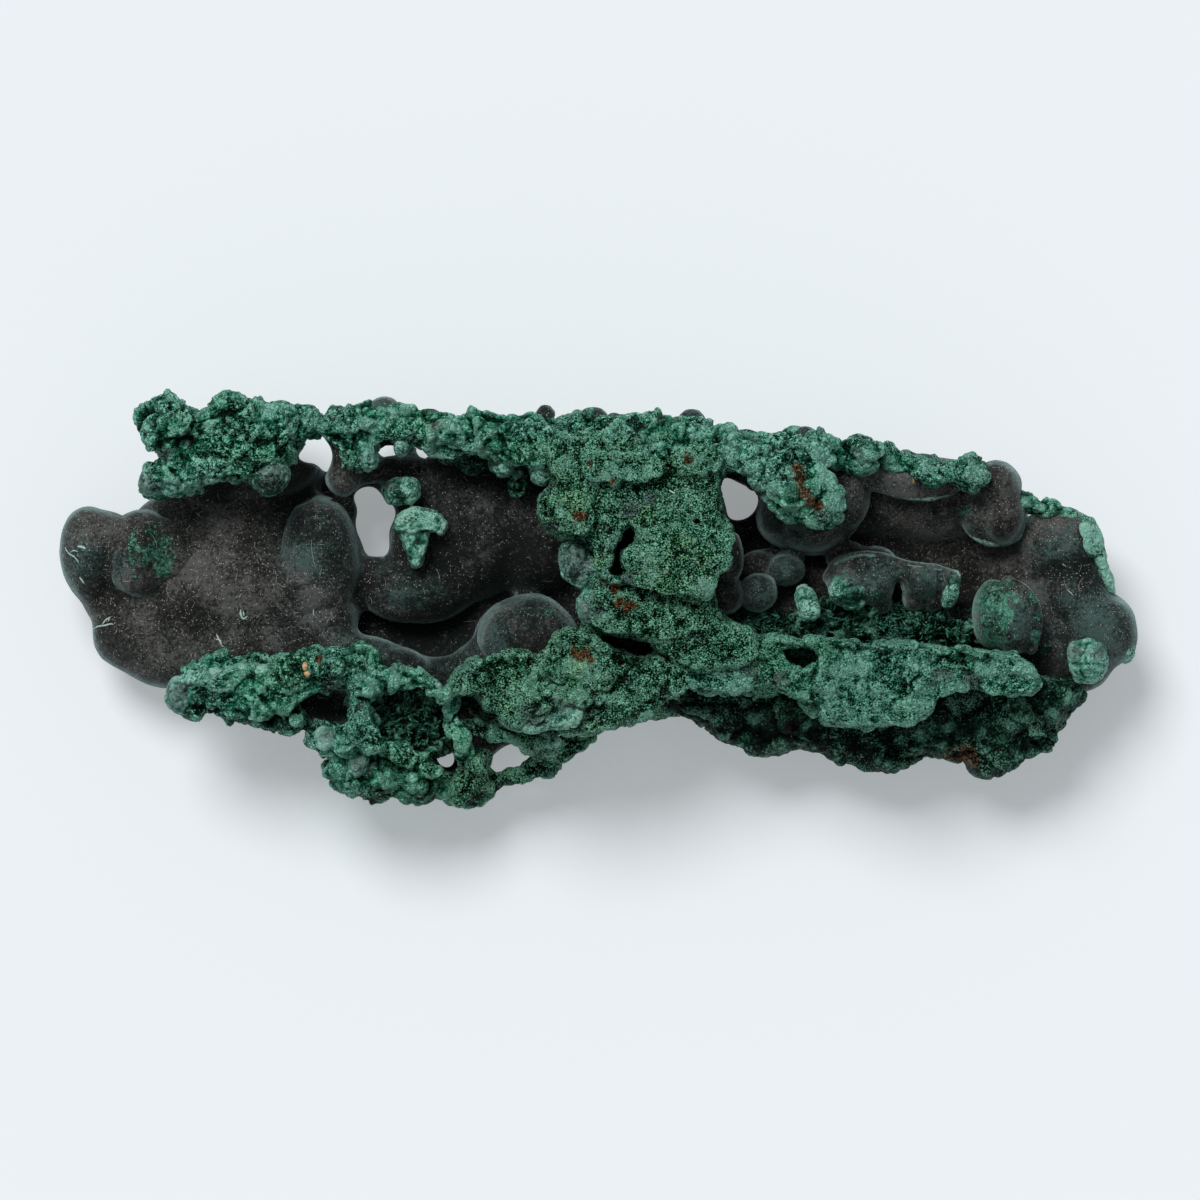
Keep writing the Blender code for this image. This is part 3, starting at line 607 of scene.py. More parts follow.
paleCrust = {
    "stops": [(0.004, 0.028, 0.018), (0.018, 0.1, 0.066), (0.06, 0.24, 0.168), (0.15, 0.45, 0.335),
        (0.4, 0.72, 0.6)],
    "warmTint": (1, 1, 0.8), "warmShare": 0.2, "grey": (0.09, 0.145, 0.13), "greyShare": 0.45,
    "rust": (0.15, 0.055, 0.02), "grains": 1700, "dust": 2300, "holes": 600, "flakes": 420, "level": 0.56,
    "crestShare": 0.7, "browShare": 0.9, "clumpShare": 0.16, "grainShare": 0.12, "dustShare": 0.7,
    "patchShare": 1.2, "streakShare": 2, "holeShare": 0.12, "crackShare": 0.22, "paintedFlakeRimShare": 0.1,
    "flakeShare": 0.14, "glints": 0.1, "mintShare": 0.42, "roughness": 0.55, "sheen": 0.1, "gloss": 0.16,
    "bump": 0.6,
}

# the rim colour is a painted sheen highlight, pale teal
velvetLook = {
    "deep": (0.006, 0.007, 0.006), "body": (0.027, 0.030, 0.028), "grey": (0.110, 0.116, 0.113),
    "brownTint": (1.14, 1.0, 0.88), "tealTint": (0.60, 1.02, 0.95), "rim": (0.205, 0.315, 0.295),
    "greenPit": (0.002, 0.014, 0.008), "green": (0.030, 0.118, 0.080), "greenCrest": (0.11, 0.36, 0.25),
    "speck": (0.66, 0.63, 0.57), "sheenTint": (0.40, 0.56, 0.54), "nap": 1500, "clouds": 95, "browning": 26,
    "grit": 750, "gritEdge": (0.35, 0.75), "level": 0.47, "roughness": 0.8, "sheen": 0.9, "gloss": 0.25,
    "bump": 0.7, "bumpDepth": 0.0004,
}


def velvetMaterial(look):
    # near-black velvet, clouded grey and brown, with a painted sheen highlight where a lobe turns under, and
    # dusted with pale specks
    tree = NodeTree("velvetWall")
    nap = tree.noise(look["nap"], 4.0, 0.8)
    # the first mark read here darkens its spots as painted shade
    paintedShade, glow, mint = tree.mark("paintedShade"), tree.mark("glow"), tree.mark("mint")
    clouds = tree.noise(look["clouds"], 8.0, 0.68)
    # the broad relief lifts the level on brows and lowers it in hollows, as painted highlight and painted
    # shade
    level = tree.total(
        look["level"], (clouds, 0.5, 1.7), (nap, 0.5, 1.9), (paintedShade, 0.0, -0.25),
        # the grey spots lighten the velvet: partly its paler grey tone, partly painted light on velvet that
        # lies in shade
        (tree.mark("greyAndPaintedLight"), 0.0, 0.21), (tree.mark("brow"), 0.5, 0.25))
    colour = tree.ramp(level, (0.26, look["deep"]), (0.50, look["body"]), (0.84, look["grey"]))
    browned = tree.ramp(tree.noise(look["browning"], 3.0, 0.5), (0.42, 0.0), (0.58, 0.4))
    colour = tree.tinted(tree.math("SUBTRACT", browned, glow), colour, look["brownTint"])
    colour = tree.tinted(glow, colour, look["tealTint"])
    # painted sheen highlight: pale teal along the steep turning edges of the lobes
    rim = tree.times(tree.mark("rim"), tree.ramp(level, (0.3, 0.25), (0.6, 0.95)))
    colour = tree.mix(rim, colour, look["rim"])
    greened = tree.ramp(level, (0.36, look["greenPit"]), (0.58, look["green"]), (0.86, look["greenCrest"]))
    colour = tree.mix(tree.times(mint, 0.72), colour, greened)
    grit = tree.total(mint, (tree.noise(look["grit"], 4.0, 0.7), 0.5, 3.6))
    grit = tree.rising(grit, *look["gritEdge"])
    colour = tree.mix(tree.times(grit, mint), colour, greened)
    # fewer pale specks show in the painted shade
    clear = tree.math("SUBTRACT", 1.0, tree.times(paintedShade, 0.75))
    for scale, reach, kept in ((2600, 0.26, 0.5), (1300, 0.15, 0.4)):
        colour = tree.mix(tree.times(tree.specks(scale, reach, kept), clear), colour, look["speck"])
    return tree.shade({
        "Base Color": colour, "Roughness": look["roughness"], "Specular IOR Level": look["gloss"],
        "Sheen Weight": look["sheen"], "Sheen Roughness": 0.28, "Sheen Tint": look["sheenTint"],
        "Normal": tree.bump(nap, look["bump"], look["bumpDepth"])})


brightFinish = crustMaterial("brightCrust", brightCrust)
rightFinish = crustMaterial("rightCrust", {**brightCrust, "mintShare": 0.36})
mossFinish = crustMaterial("mossCrust", mossCrust)
shelfFinish = crustMaterial("shelfCrust", shelfLook)
deepFinish = crustMaterial("deepCrust", deepCrust)
paleFinish = crustMaterial("paleCrust", paleCrust)
pocketFinish = crustMaterial("pocketCrust", {**deepCrust, "level": 0.6, "browShare": 0.6, "flakeShare": 0.34})
velvetFinish = velvetMaterial(velvetLook)

# straight ways through the specimen, and blind holes: an outline, and the height that the hole stops at
underside = -10
holeLeft = ([(-49.8, 21.4), (-48.4, 18), (-49.2, 15.4), (-47.4, 11), (-46.8, 9), (-42.8, 9.4), (-42.8, 14),
        (-41.2, 18), (-44, 20.4), (-45.6, 22.8)], underside)
holeUnderRim = ([(-61, 28.4), (-56.2, 32), (-54.4, 31.6), (-53.6, 28.8), (-54.8, 25.4), (-57, 28)],
    underside)
slitLeft = ([(-62, 19), (-59.8, 20.9), (-57.6, 20.7), (-59.6, 19.6)], underside)
holeRight = ([(24.4, 24.4), (28, 23.2), (32, 21), (30.4, 16.8), (26, 15.9), (25.2, 19)], underside)
holeRimLeft = ([(-44.8, 30.2), (-42, 31.2), (-40, 29.6), (-43.4, 28.4)], underside)
holeRimMiddle = ([(-37.2, 30), (-35.4, 30.6), (-34, 29), (-35.4, 28)], underside)
holeLowLeft = ([(-33, -31.6), (-31, -30.3), (-29.6, -28.2), (-29.6, -31), (-29.5, -34.2), (-31, -33.6)],
    underside)
holeLowRight = ([(-22.4, -33), (-20, -30), (-17, -28.8), (-15.2, -32), (-18.8, -33)], underside)
gapUnderCore = ([(0.4, -6.9), (3.4, -7.4), (7, -7.8), (9.6, -8.6), (10.8, -9.9), (8.8, -10.8), (5.8, -10.3),
        (2.8, -9), (0.8, -8)], 15)
crackInCore = ([(5.1, 14), (6.4, 14.1), (7, 12.6), (6.8, 11.4), (5.2, 10.9), (4.2, 10), (3.9, 8.6),
        (3.9, 7.6), (4.2, 6.4), (4.7, 5.5), (3.4, 5.3), (1.8, 5.5), (2.9, 6.6), (3, 8), (3.2, 9.6),
        (3.5, 11.2), (4.3, 12), (5, 12.6)], 20)
allWays = [holeLeft, holeUnderRim, slitLeft, holeRight, holeRimLeft, holeRimMiddle, holeLowLeft,
    holeLowRight]


# the dark walls

darkWalls = {
    "cell": 0.9, "soften": 4, "worn": 3, "lowest": 0, "windows": allWays, "room": 0.2,
    "relief": [("waves", 15, 0.8, 1), ("waves", 6, 0.35, 2), ("waves", 2.6, 0.1, 3)], "rimBulge": 0.32,
    "browHeight": 1.6,
    "mint": [(-93, 13.7, 0.9), (-93, 11.5, 0.8), (-93, 8.4, 1), (-93, 5.2, 0.9), (-90, 10, 3.4),
        (-86, 12, 2.6), (-86, 8, 2.4), (-10.2, -2.6, 0.8), (-56, -24, 1.2)],
    "paintedShade": [(-36, -7, 8), (-28, -4, 6), (-59, 24, 6), (34, 13, 5), (30, 8, 4), (90, -13, 5), (30, 0, 5),
        (-20, 6, 7), (-30, 12, 6), (-14, 8, 6), (73, 1, 4), (-57, -21, 5), (-76, 22, 3), (92, -13, 4),
        (86, -14, 3)],
    "greyAndPaintedLight": [(-70, -3, 9), (-60, 6, 7), (-80, 6, 7), (-86, -8, 5), (-102, -2, 4), (98, -2, 7), (100, -8, 5),
        (86, 19, 6), (92, 14, 6), (84, 10, 5), (79, 9, 4), (88, 2, 4), (-74, 15, 6), (64, 14, 6),
        (-58, -2, 6), (-24, 20, 4), (-40, 0, 4)],
    "glow": [(-43, 38, 4), (-11, 37, 3), (-1.5, 36.5, 4), (18.5, 36, 4), (40.5, 33, 4), (-14, -6, 11),
        (-45, -10, 10), (-30, -12, 8), (-57, 12, 8), (100, -4, 12), (94, 8, 8), (-103, 8, 5), (-36, 0, 10)],
    "lobes": [
        # left end and left wall
        ((-102.6, 8.6, 15), (5.4, 9.6, 9.5)), ((-99, 12.8, 14), (5.2, 5, 8.4)), ((-99.5, 0.8, 12), (5, 6, 7)),
        ((-92.4, 9.4, 18.4), (6.6, 9.4, 7.6)), ((-91.5, -5.5, 13), (10.8, 9.8, 9)),
        ((-86, -10, 14), (11.5, 8.4, 8)), ((-76, 2, 11.5), (22, 17, 12)), ((-72, -10, 14), (18, 9, 9)),
        ((-80, 15, 12), (14, 9, 9)), ((-61, 1, 13.4), (11, 11, 10.4)), ((-66, 15, 10), (11, 8, 9)),
        ((-56, 8.5, 14.4), (8.4, 13, 11)), ((-57, -4, 14), (9, 8, 9.5)), ((-59.3, 24.6, 8), (5, 3.6, 6)),
        ((-72, 27, 13), (17, 8, 12)),
        # stalk hanging from the upper rim
        ((-51.2, 24.4, 22), (3.9, 4.3, 6)), ((-46.2, 25, 20), (3.6, 2, 4)),
        # middle wall
        ((-27, 15, 8), (17, 15.5, 14)), ((-37, 13, 9), (6.5, 11.5, 9)), ((-14, 15, 8), (13, 15, 12)),
        ((-34, 24.5, 12), (10.5, 5.5, 9.5)), ((-42, 26, 15), (3.2, 3.4, 7)),
        ((-37.5, 2.4, 11), (12, 6.4, 9.5)),
        # swell under the lower rim
        ((-14.6, -8.4, 18), (10.4, 9.4, 12.5)), ((-23.5, -13, 17), (6, 5, 8)), ((-56, -20, 14), (8, 6.4, 7)),
        ((-41, -14, 22), (7, 5, 6)),
        # right wall and right end
        ((66, 9, 6), (24, 15, 9)), ((64, 20, 12), (22, 9, 11)), ((88, 2, 10), (13, 15, 11)),
        ((52, -8, 9), (40, 12, 11)), ((88, -8, 13), (9, 9, 8)), ((50, 4, 7), (30, 11, 9)),
        ((92, 11.6, 17), (9, 7.8, 9.5)), ((100.6, -6, 17), (7.2, 7.6, 10)), ((94.6, 4, 14), (7.6, 9.4, 10)),
        ((95.4, -12, 14), (7.4, 7, 9)),
        # smooth knobs on the upper edge
        ((-43, 37.6, 30), (3.4, 2.8, 3)), ((-11, 36.9, 33), (2.2, 2.4, 2.6)),
        ((-1.5, 35.6, 34), (3.4, 2.8, 3)), ((18.5, 35.4, 35), (3.4, 2.9, 3)), ((40.5, 32.4, 31), (3, 2.3, 3)),
        # lobes at the edges of the core
        ((26, 9, 33), (3, 5.6, 5)), ((25, 1, 27), (4.6, 4.2, 7)),
    ],
    "ridges": [
        [(-52, 34, 26, 3.4), (-51.6, 29.5, 25, 3.4), (-51.4, 25, 22, 3.6)],
        [(-46, 7, 10, 3.6), (-46, 3, 12, 4), (-41.5, -0.2, 13.4, 4), (-35, -1, 13.6, 3.8),
         (-29.6, 0.8, 12, 3.4)],
        [(-60, -13, 18, 4.6), (-52, -10.8, 20, 4.6), (-45, -11.6, 20, 4.4), (-39, -13.8, 19, 4.2),
         (-33, -15.4, 18, 4), (-26.6, -14.8, 17, 4)],
    ],
    "plates": [
        ([(-97, 2), (-88, -14), (-62, -24), (-46, -33), (-25, -35), (-4, -25), (14, -20), (26, -27),
          (54, -31), (78, -30), (92, -21), (98, -6), (94, 10), (80, 19), (52, 28), (24, 32), (-6, 33),
          (-30, 31), (-56, 31), (-76, 34), (-88, 26)], 9, 3),
        ([(-66, -6), (-56, -20), (-30, -25), (-4, -21), (22, -23), (52, -25), (74, -18), (79, 0), (66, 14),
          (34, 22), (2, 24), (-30, 22), (-56, 16)], 7, 0),
        ([(-95, 10), (-95, -4), (-88, -13), (-70, -18), (-58, -14), (-51, -6), (-51, 10), (-53, 16),
          (-63, 17), (-66, 22), (-80, 23), (-91, 18)], (19, 0.02, 0.06), 3, 6),
    ],
}
grow("darkWalls", darkWalls, velvetFinish)

# the smaller smooth lobes, with the lips and double rims that the large walls are too coarse for
velvetLobes = {
    "cell": 0.5, "soften": 3, "windows": [holeRight, holeLeft, slitLeft], "room": 0.2,
    "relief": [("waves", 6, 0.3, 4), ("waves", 2.4, 0.1, 5)], "rimBulge": 0.13, "browHeight": 1.6,
    "paintedShade": [(34, 15, 3), (70, 17, 4), (-91, 3, 4), (-13, -8, 6), (-36, -3.4, 3)],
    "greyAndPaintedLight": [(-58, -1, 5), (-60, 8, 5), (-93, 6, 5), (42, 18, 7), (50, 24, 5), (60, 24, 6), (57, 6, 5),
        (65, 3, 5), (82, 18, 6), (52, 20, 3), (66, 21, 5), (32, 2, 3), (36, 12.6, 4), (42, 11.6, 4),
        (47.6, 13, 4), (81, -3, 8), (50, 4, 5), (36, 1, 5), (31, 2, 4)],
    "glow": [(-20, -8, 5), (-14, -1.6, 5), (-6, -3, 4), (-45, 4, 5), (-57, 12, 9), (-97, 8, 4), (32, 2, 5),
        (37, 7, 5), (56, 5, 7), (84, -4, 7), (-2, -2, 4), (66, 3, 5), (38, 15, 6)],
    "mint": [(-93.2, 12, 1.2), (-93.4, 8, 1), (-89.4, 10, 4.2), (-88, 6.6, 2.4), (-89.6, 13.4, 1.8),
        (-87.4, 12, 2), (-10.2, -2.6, 1), (78.4, 0, 5.4), (77, -7, 4), (78.4, -6, 4.4), (80.6, -3, 3),
        (86.6, 0.4, 1.4), (87.8, -3.4, 1.5), (87.2, -7.4, 1.4), (49, 1.6, 3.6), (55, 0.6, 2.2), (71, 3, 2.2),
        (69.4, -0.6, 1.6), (75.4, 24, 2.4), (73, 18, 1.6)],
    "lobes": [
        ((-91.8, 9, 18), (7.6, 9.2, 8.6)), ((-87, 9, 16.6), (8, 8, 7.4)), ((-82.4, 10, 14), (10, 9, 8.4)),
        ((-56.4, 9.2, 15), (8.2, 12.2, 11.2)), ((-58.4, 3, 14.6), (9.4, 10, 10.6)),
        ((-63, 0, 13.6), (10, 10, 9.4)), ((-14.6, -8.2, 18.6), (10.6, 9.5, 12.8)),
        ((42.6, 20.4, 22), (9.8, 11, 11)), ((37, 18, 19), (6.2, 7.6, 10)), ((49.6, 22, 25), (4.4, 8, 7)),
        ((51.4, 25, 27), (3.4, 5, 5)), ((80.4, 17.4, 22), (4.9, 6.4, 8)), ((79.4, 22.6, 23), (5, 5.4, 8)),
        ((70.6, 19, 18.4), (6.4, 3.7, 6)), ((76.6, 17.8, 20), (5, 5, 7)), ((31.6, 1.5, 26), (4.1, 4, 5)),
        ((37, 6, 20), (4.2, 3.4, 6)), ((32, 6.6, 17), (4.4, 3.4, 5)), ((49.6, 8.4, 20), (4.4, 3.7, 5)),
        ((55, 8, 20), (4.6, 3, 5)), ((49.4, 3.4, 25), (4.2, 3.4, 5)), ((48.6, 1.2, 24), (2.8, 2.6, 5)),
        ((52, 1.6, 24), (2.2, 2.6, 5)), ((55.6, 3.4, 24), (3.4, 4.6, 6)), ((56.4, -0.6, 21), (2.2, 2.4, 5)),
        ((64.2, 3.6, 23), (4, 3.6, 6)), ((62.6, 0.4, 20), (2.4, 3, 5)), ((66.6, 0.8, 20), (2, 3.4, 5)),
        ((70.4, 4.2, 24), (2, 2.2, 4)), ((69.8, 1, 23), (1.8, 2.6, 4)), ((82.6, -3.6, 22), (5.4, 7.9, 9)),
        ((78.6, -3, 22), (4.2, 7.4, 8)),
    ],
    "ridges": [
        # the swell that hangs over the dark gap at the left
        [(-45.6, 6, 10.4, 3.8), (-45.6, 2.8, 12.4, 4.2), (-41.5, 0.2, 13.8, 4.3), (-35, -0.4, 14.2, 4.1),
         (-29.8, 1.6, 12.6, 3.6)],
        # the neck and the wall running right from it, with its lower lip
        [(52, 26, 28, 3.4), (56, 25.4, 27, 3.6), (61, 24.2, 27, 3.6), (66, 23.6, 27, 3.6), (70, 24, 27, 2.8)],
        [(53.4, 23.4, 28, 1.2), (57, 22.2, 28, 1.2), (61, 21.2, 28, 1.2), (65.6, 20.8, 28, 1.2),
         (69.6, 21.6, 28, 1.1), (71.6, 23, 27, 1)],
        [(62, 24, 30, 0.9), (64.2, 22.9, 30.6, 0.9), (67.2, 22.8, 30.6, 0.9), (70, 24.2, 30, 0.9)],
        # double rim under the hanging lobe
        [(32.4, 17, 18, 1.4), (33.6, 13.6, 19, 1.4), (37.4, 11.2, 20, 1.4), (42, 10.2, 21, 1.4),
         (46.6, 11, 22, 1.4), (50, 14, 24, 1.3), (52, 18, 26, 1.3), (53, 22, 27, 1.2)],
        # saddle and the rim behind it
        [(46, 4.6, 24, 1.8), (48, 6.6, 25.4, 2.2), (51.6, 7.6, 26.4, 2.4), (56, 7.4, 26.4, 2.4),
         (61, 5.8, 25.4, 2.2), (66, 5.4, 24.4, 2), (70, 4.8, 24, 1.7)],
        [(28.6, 6.6, 16, 1.2), (31, 8.8, 16.6, 1.2), (35, 9.4, 17, 1.2), (40, 8.6, 17, 1.2)],
        # the fist lobe's rims
        [(81.4, 4, 26, 1.2), (84.8, 2, 27, 1.2), (87, -1.6, 27, 1.2), (87.6, -5.6, 26, 1.2),
         (86.4, -10, 24, 1.2)],
        # the lower edge of the lobe above
        [(73.2, 15.6, 20, 1), (74.8, 13.2, 21, 1), (77.6, 11.8, 22, 1), (80.8, 11.6, 22, 1),
         (83.6, 13, 22, 1), (84.8, 16, 22, 1)],
        [(65.4, 18.8, 17, 1), (68, 16.6, 18, 1), (71, 15.8, 19, 1)],
    ],
}
grow("velvetLobes", velvetLobes, velvetFinish)


# the crust, by the stretch it grew on

blockCrust = {
    "worn": 2, "browHeight": 2.4, "fanSize": 4.6, "rest": 0.8, "calm": 0.4,
    "relief": [("slants", 8, 1.7, 10), ("domes", 5, 0.8, 11), ("rays", 4.6, 0.45, 5),
        ("slants", 3.2, 0.5, 14), ("creases", 2.2, 0.28, 12), ("slants", 1.5, 0.22, 13)],
    "rust": [(-62, 35.5, 0.9)], "greyAndPaintedLight": [(-82, 32, 2), (-86.5, 29.4, 1.6), (-61, 33, 1.6), (-66, 23, 3)],
    "mint": [(-87, 22.5, 1.4), (-82, 25, 1.2), (-90, 31, 1.2), (-74.5, 25.5, 1.2)],
    "lobes": [
        ((-88.2, 34.4, 31), (4.4, 4.8, 7)), ((-86.8, 37.6, 32), (2.8, 3, 5)),
        ((-74.6, 37.4, 33), (4, 3.6, 6)), ((-88, 24.6, 29), (3.6, 3.8, 6)), ((-82.5, 26, 31), (4.4, 4, 6)),
        ((-76.4, 26.8, 32), (4.4, 3.8, 6)),
    ],
    "plates": [
        ([(-91.6, 35), (-90, 38), (-87.2, 40.2), (-81, 37.8), (-77.6, 39.6), (-74, 40.9), (-66, 39.8),
          (-61, 38.4), (-59.6, 33), (-61.6, 29.8), (-63.4, 28), (-68.6, 23.4), (-71, 23.4), (-79, 23),
          (-84, 22.4), (-89.4, 21.8), (-90, 25.5), (-87.8, 28.8), (-91, 31.6)], 38, 18),
    ],
}
grow("blockCrust", blockCrust, brightFinish)

rimCrust = {
    "browHeight": 2.4, "fanSize": 3.6, "rest": 0.8, "calm": 0.4,
    "windows": [holeUnderRim, holeRimLeft, holeRimMiddle],
    "relief": [("slants", 6, 1.3, 20), ("domes", 4, 0.7, 21), ("rays", 3.6, 0.36, 5),
        ("slants", 2.8, 0.45, 24), ("creases", 2.2, 0.26, 22), ("slants", 1.4, 0.2, 23)],
    "paintedShade": [(-53, 33, 2.4), (-30, 33, 1.6), (-16, 33, 1.6), (-9, 28, 2)],
    "mint": [(-46, 30, 2.4), (-38.6, 31.4, 2.2), (-32.6, 31.6, 2), (-24, 29.6, 2.2), (-12, 25.6, 2.4),
        (-18, 27, 1.6), (-40, 37, 2), (-56, 36.6, 2), (-50, 34, 2), (-44.6, 34.6, 2.2), (-29, 35, 2.4),
        (-22, 33, 2), (-14, 34.4, 2.4), (-6, 32, 2.6), (4, 33, 2.6), (12, 32, 2.2), (20, 32.6, 2.4)],
    "greyAndPaintedLight": [(-21, 27, 1.6), (-33, 34.6, 1.6)],
    "lobes": [
        ((-49.4, 28.4, 31), (2.6, 3, 4)), ((-46.6, 29.6, 31), (2.8, 3.2, 4)),
        ((-39.5, 32.2, 29), (2.4, 3, 4)), ((-33, 32, 29), (2.2, 2.6, 4)), ((-19, 28, 29), (2.4, 2.6, 4)),
        ((-17, 23.8, 25), (1.7, 2.6, 4)), ((-11.8, 25.8, 31), (2.8, 2.6, 4)),
    ],
    "ridges": [
        [(-62, 35.4, 32, 4.2), (-56.5, 35.6, 31, 3.4), (-52.5, 34.2, 30, 3.6), (-48, 34.8, 31, 4.6),
         (-42, 35, 31, 4.4), (-36, 34, 32, 4.4), (-28, 33, 33, 4.5), (-20, 32.6, 34, 4.7), (-12, 32, 35, 5.2),
         (-4, 31.6, 36, 5.6), (6, 31, 37, 5.8), (16, 31, 37, 5.8), (23, 30.2, 37, 4.8)],
    ],
}
grow("rimCrust", rimCrust, brightFinish)

coreCrust = {
    "cell": 0.46, "room": 0.5, "worn": 1.4, "crestHeight": 0.45, "browHeight": 2, "fanSize": 3, "rest": 0.35,
    "calm": 0.3,
    "windows": [holeRight, gapUnderCore, crackInCore, ([(18.5, 15.6), (19.6, 15.9), (19.5, 14.9)], 38)],
    "relief": [("waves", 9, 0.7, 30), ("domes", 4.6, 0.6, 31), ("domes", 2.2, 0.42, 33),
        ("slants", 1.2, 0.16, 32)],
    "rust": [(17.5, 28.3, 1.5), (-4, 17, 1.7), (3, 2.5, 1.4), (6, -0.9, 2.2), (4, -0.4, 1.4),
        (2.5, 23.5, 0.9), (-2, 27, 0.8)],
    "glow": [(12, 4, 5), (16, 10, 4.5), (-5, 19, 3.6), (20, 8, 3), (0, 8, 2.5), (9, 17, 3)],
    "paintedShade": [(4, -2.6, 1.3), (8.4, -4, 1.5), (12, -2.6, 1.3), (15.4, -4.8, 1.4), (18.4, -1.8, 1.2),
        (10.4, -6.2, 1.2), (6, -0.6, 0.9), (1, -5, 1), (20, -6.8, 1.4), (14, -10, 1.5), (-3.6, 23.2, 1.3),
        (0.8, 22.2, 1), (3, 20.8, 1), (7, 21.8, 1.3), (11, 22.8, 1.2), (-7.6, 22.6, 1.3), (-7, 30, 1.2),
        (-4.4, 31, 1.2), (0.6, 31.4, 1.1), (4.6, 30.4, 1), (13.8, 25, 1.1), (14, 22, 1), (13.6, 19.4, 0.9),
        (-2.2, 12.2, 1), (0, 10.4, 1.2), (1.6, 13.2, 0.8), (1.4, 17.8, 0.7), (22.4, 20, 0.8), (19, 22, 0.7)],
    "greyAndPaintedLight": [(-9.5, 14.4, 1.6), (-10.6, 22.6, 1.6), (-1.4, -2, 2.4), (0.6, 3.8, 1.4), (5.6, 4.4, 1.4),
        (6, 17.6, 2.4), (10, 20, 1.8)],
    "mint": [(2, 25.4, 2.4), (5.6, 25.2, 2.2), (9.4, 25.6, 2.2), (3, 23, 1.2), (-6.6, 27.4, 1.8),
        (20.8, 2.4, 2), (19.4, 27.4, 2), (22.8, 26.4, 2), (1.6, -3.2, 1.6), (10, 5, 2.2), (-8, 18, 1.8)],
    "ridges": [
        # raised edges of the ledges
        [(-3.2, 28.2, 45.2, 0.6), (-2.8, 25.6, 45.5, 0.8), (-1, 24, 45.7, 0.8), (1.4, 24.6, 45.6, 0.7),
         (2.9, 22.8, 45.8, 0.8), (4.4, 24.2, 45.7, 0.7), (8, 23.6, 45.7, 0.8), (11.8, 24.8, 45.6, 0.7),
         (12.6, 27, 45.3, 0.6)],
        [(-12, 19.6, 45.3, 0.6), (-11.4, 16.8, 45.7, 0.8), (-8.2, 13.8, 46, 0.8), (-4, 13.2, 46, 0.8),
         (-1.8, 14.8, 45.9, 0.7), (-1, 18, 45.4, 0.6)],
        [(3.8, 8.4, 46.6, 0.6), (5.6, 10.4, 46.5, 0.7), (7.4, 12.2, 46.3, 0.8), (10, 14.2, 46.1, 0.7),
         (16, 14.8, 46, 0.6)],
        [(26.6, 13, 46.1, 0.6), (25.9, 10, 46.5, 0.8), (25, 7, 46.7, 0.8), (22.6, 4.6, 46.9, 0.7),
         (20.8, 0.9, 47, 0.8), (17, 1.6, 47, 0.8), (12, 1.6, 47, 0.7), (8.6, 3, 46.9, 0.8),
         (5.4, 3.6, 46.7, 0.6)],
        [(-1.2, 1.2, 43.3, 0.6), (-1.6, -1.6, 43, 0.8), (-0.4, -4.6, 42.7, 0.8), (4, -6.2, 42.5, 0.7),
         (9, -7.4, 42.4, 0.8), (15, -7.6, 42.4, 0.7)],
    ],
    "lobes": [
        ((10.4, 14, 22), (14.6, 20, 20)), ((10, -8, 16), (15, 11, 17)), ((8, -16, 14), (19, 8, 11)),
        ((-1, -1.8, 34), (3, 3.8, 5)), ((0.8, 3.6, 36), (2, 1.9, 3.4)),
    ],
    "plates": [
        ([(-9.5, 33), (-9.2, 24), (-11.8, 20.4), (-11.8, 16.4), (-8.6, 12.8), (-4, 12), (-1, 9), (-1, 4.4),
          (3, 2.4), (6, 3.4), (10, 2.4), (16, 0.2), (21, -0.6), (22, 4), (24.9, 7), (25.2, 10.6), (27, 14.4),
          (25.2, 16.6), (24.6, 25), (25, 33)], (45.4, 0, -0.1), 30),
        ([(-1.6, 5), (3, 5.4), (12, 5), (21, 3), (25, -3), (31, -6.2), (32, -13), (18, -14.4), (14, -11.4),
          (9.4, -8.4), (3, -6.8), (-0.6, -5.4), (-1.8, -1)], (42, 0, 0.1), 18),
        # ledges: under the rim, at the left, at the right, and along the lower edge
        ([(-3.4, 28.6), (-3, 25.4), (-1, 23.6), (1.4, 24.2), (2.9, 22.2), (4.4, 23.8), (8, 23.2), (12, 24.4),
          (13, 27), (10, 29), (3, 29.6)], (48, 0, -0.1), (44, 0, -0.1), 0.8),
        ([(-12.4, 19.6), (-11.8, 16.8), (-8.4, 13.4), (-4, 12.8), (-1.6, 14.6), (-0.8, 18), (-2, 21),
          (-6, 22.2), (-10.4, 21.8)], (47.3, 0, -0.1), (42, 0, -0.1), 0.9),
        ([(3.6, 8.4), (5.8, 10.2), (7.2, 12.2), (10, 14.4), (16, 15), (22, 14.8), (27, 13.2), (26, 10),
          (25.4, 7), (22.8, 4.4), (21, 0.4), (17, 1.4), (12, 1.4), (8.6, 2.8), (5.4, 3.4), (4, 6)],
         (47.6, 0, -0.1), (42, 0, -0.1), 0.9),
        ([(-1.4, 1.2), (3, 1.8), (8, 0.8), (14, -0.4), (19, -2.2), (20, -5.4), (15, -7.8), (9, -7.6),
          (4, -6.4), (-0.6, -4.8)], (43.4, 0, 0.1), 38, 0.9),
        ([(13, 28), (15, 25.4), (19, 24.4), (23.4, 25.2), (24.8, 28), (22, 30.6), (16, 30.6)],
         (47.6, 0, -0.1), (43, 0, -0.1), 0.9),
    ],
}
grow("coreCrust", coreCrust, mossFinish)

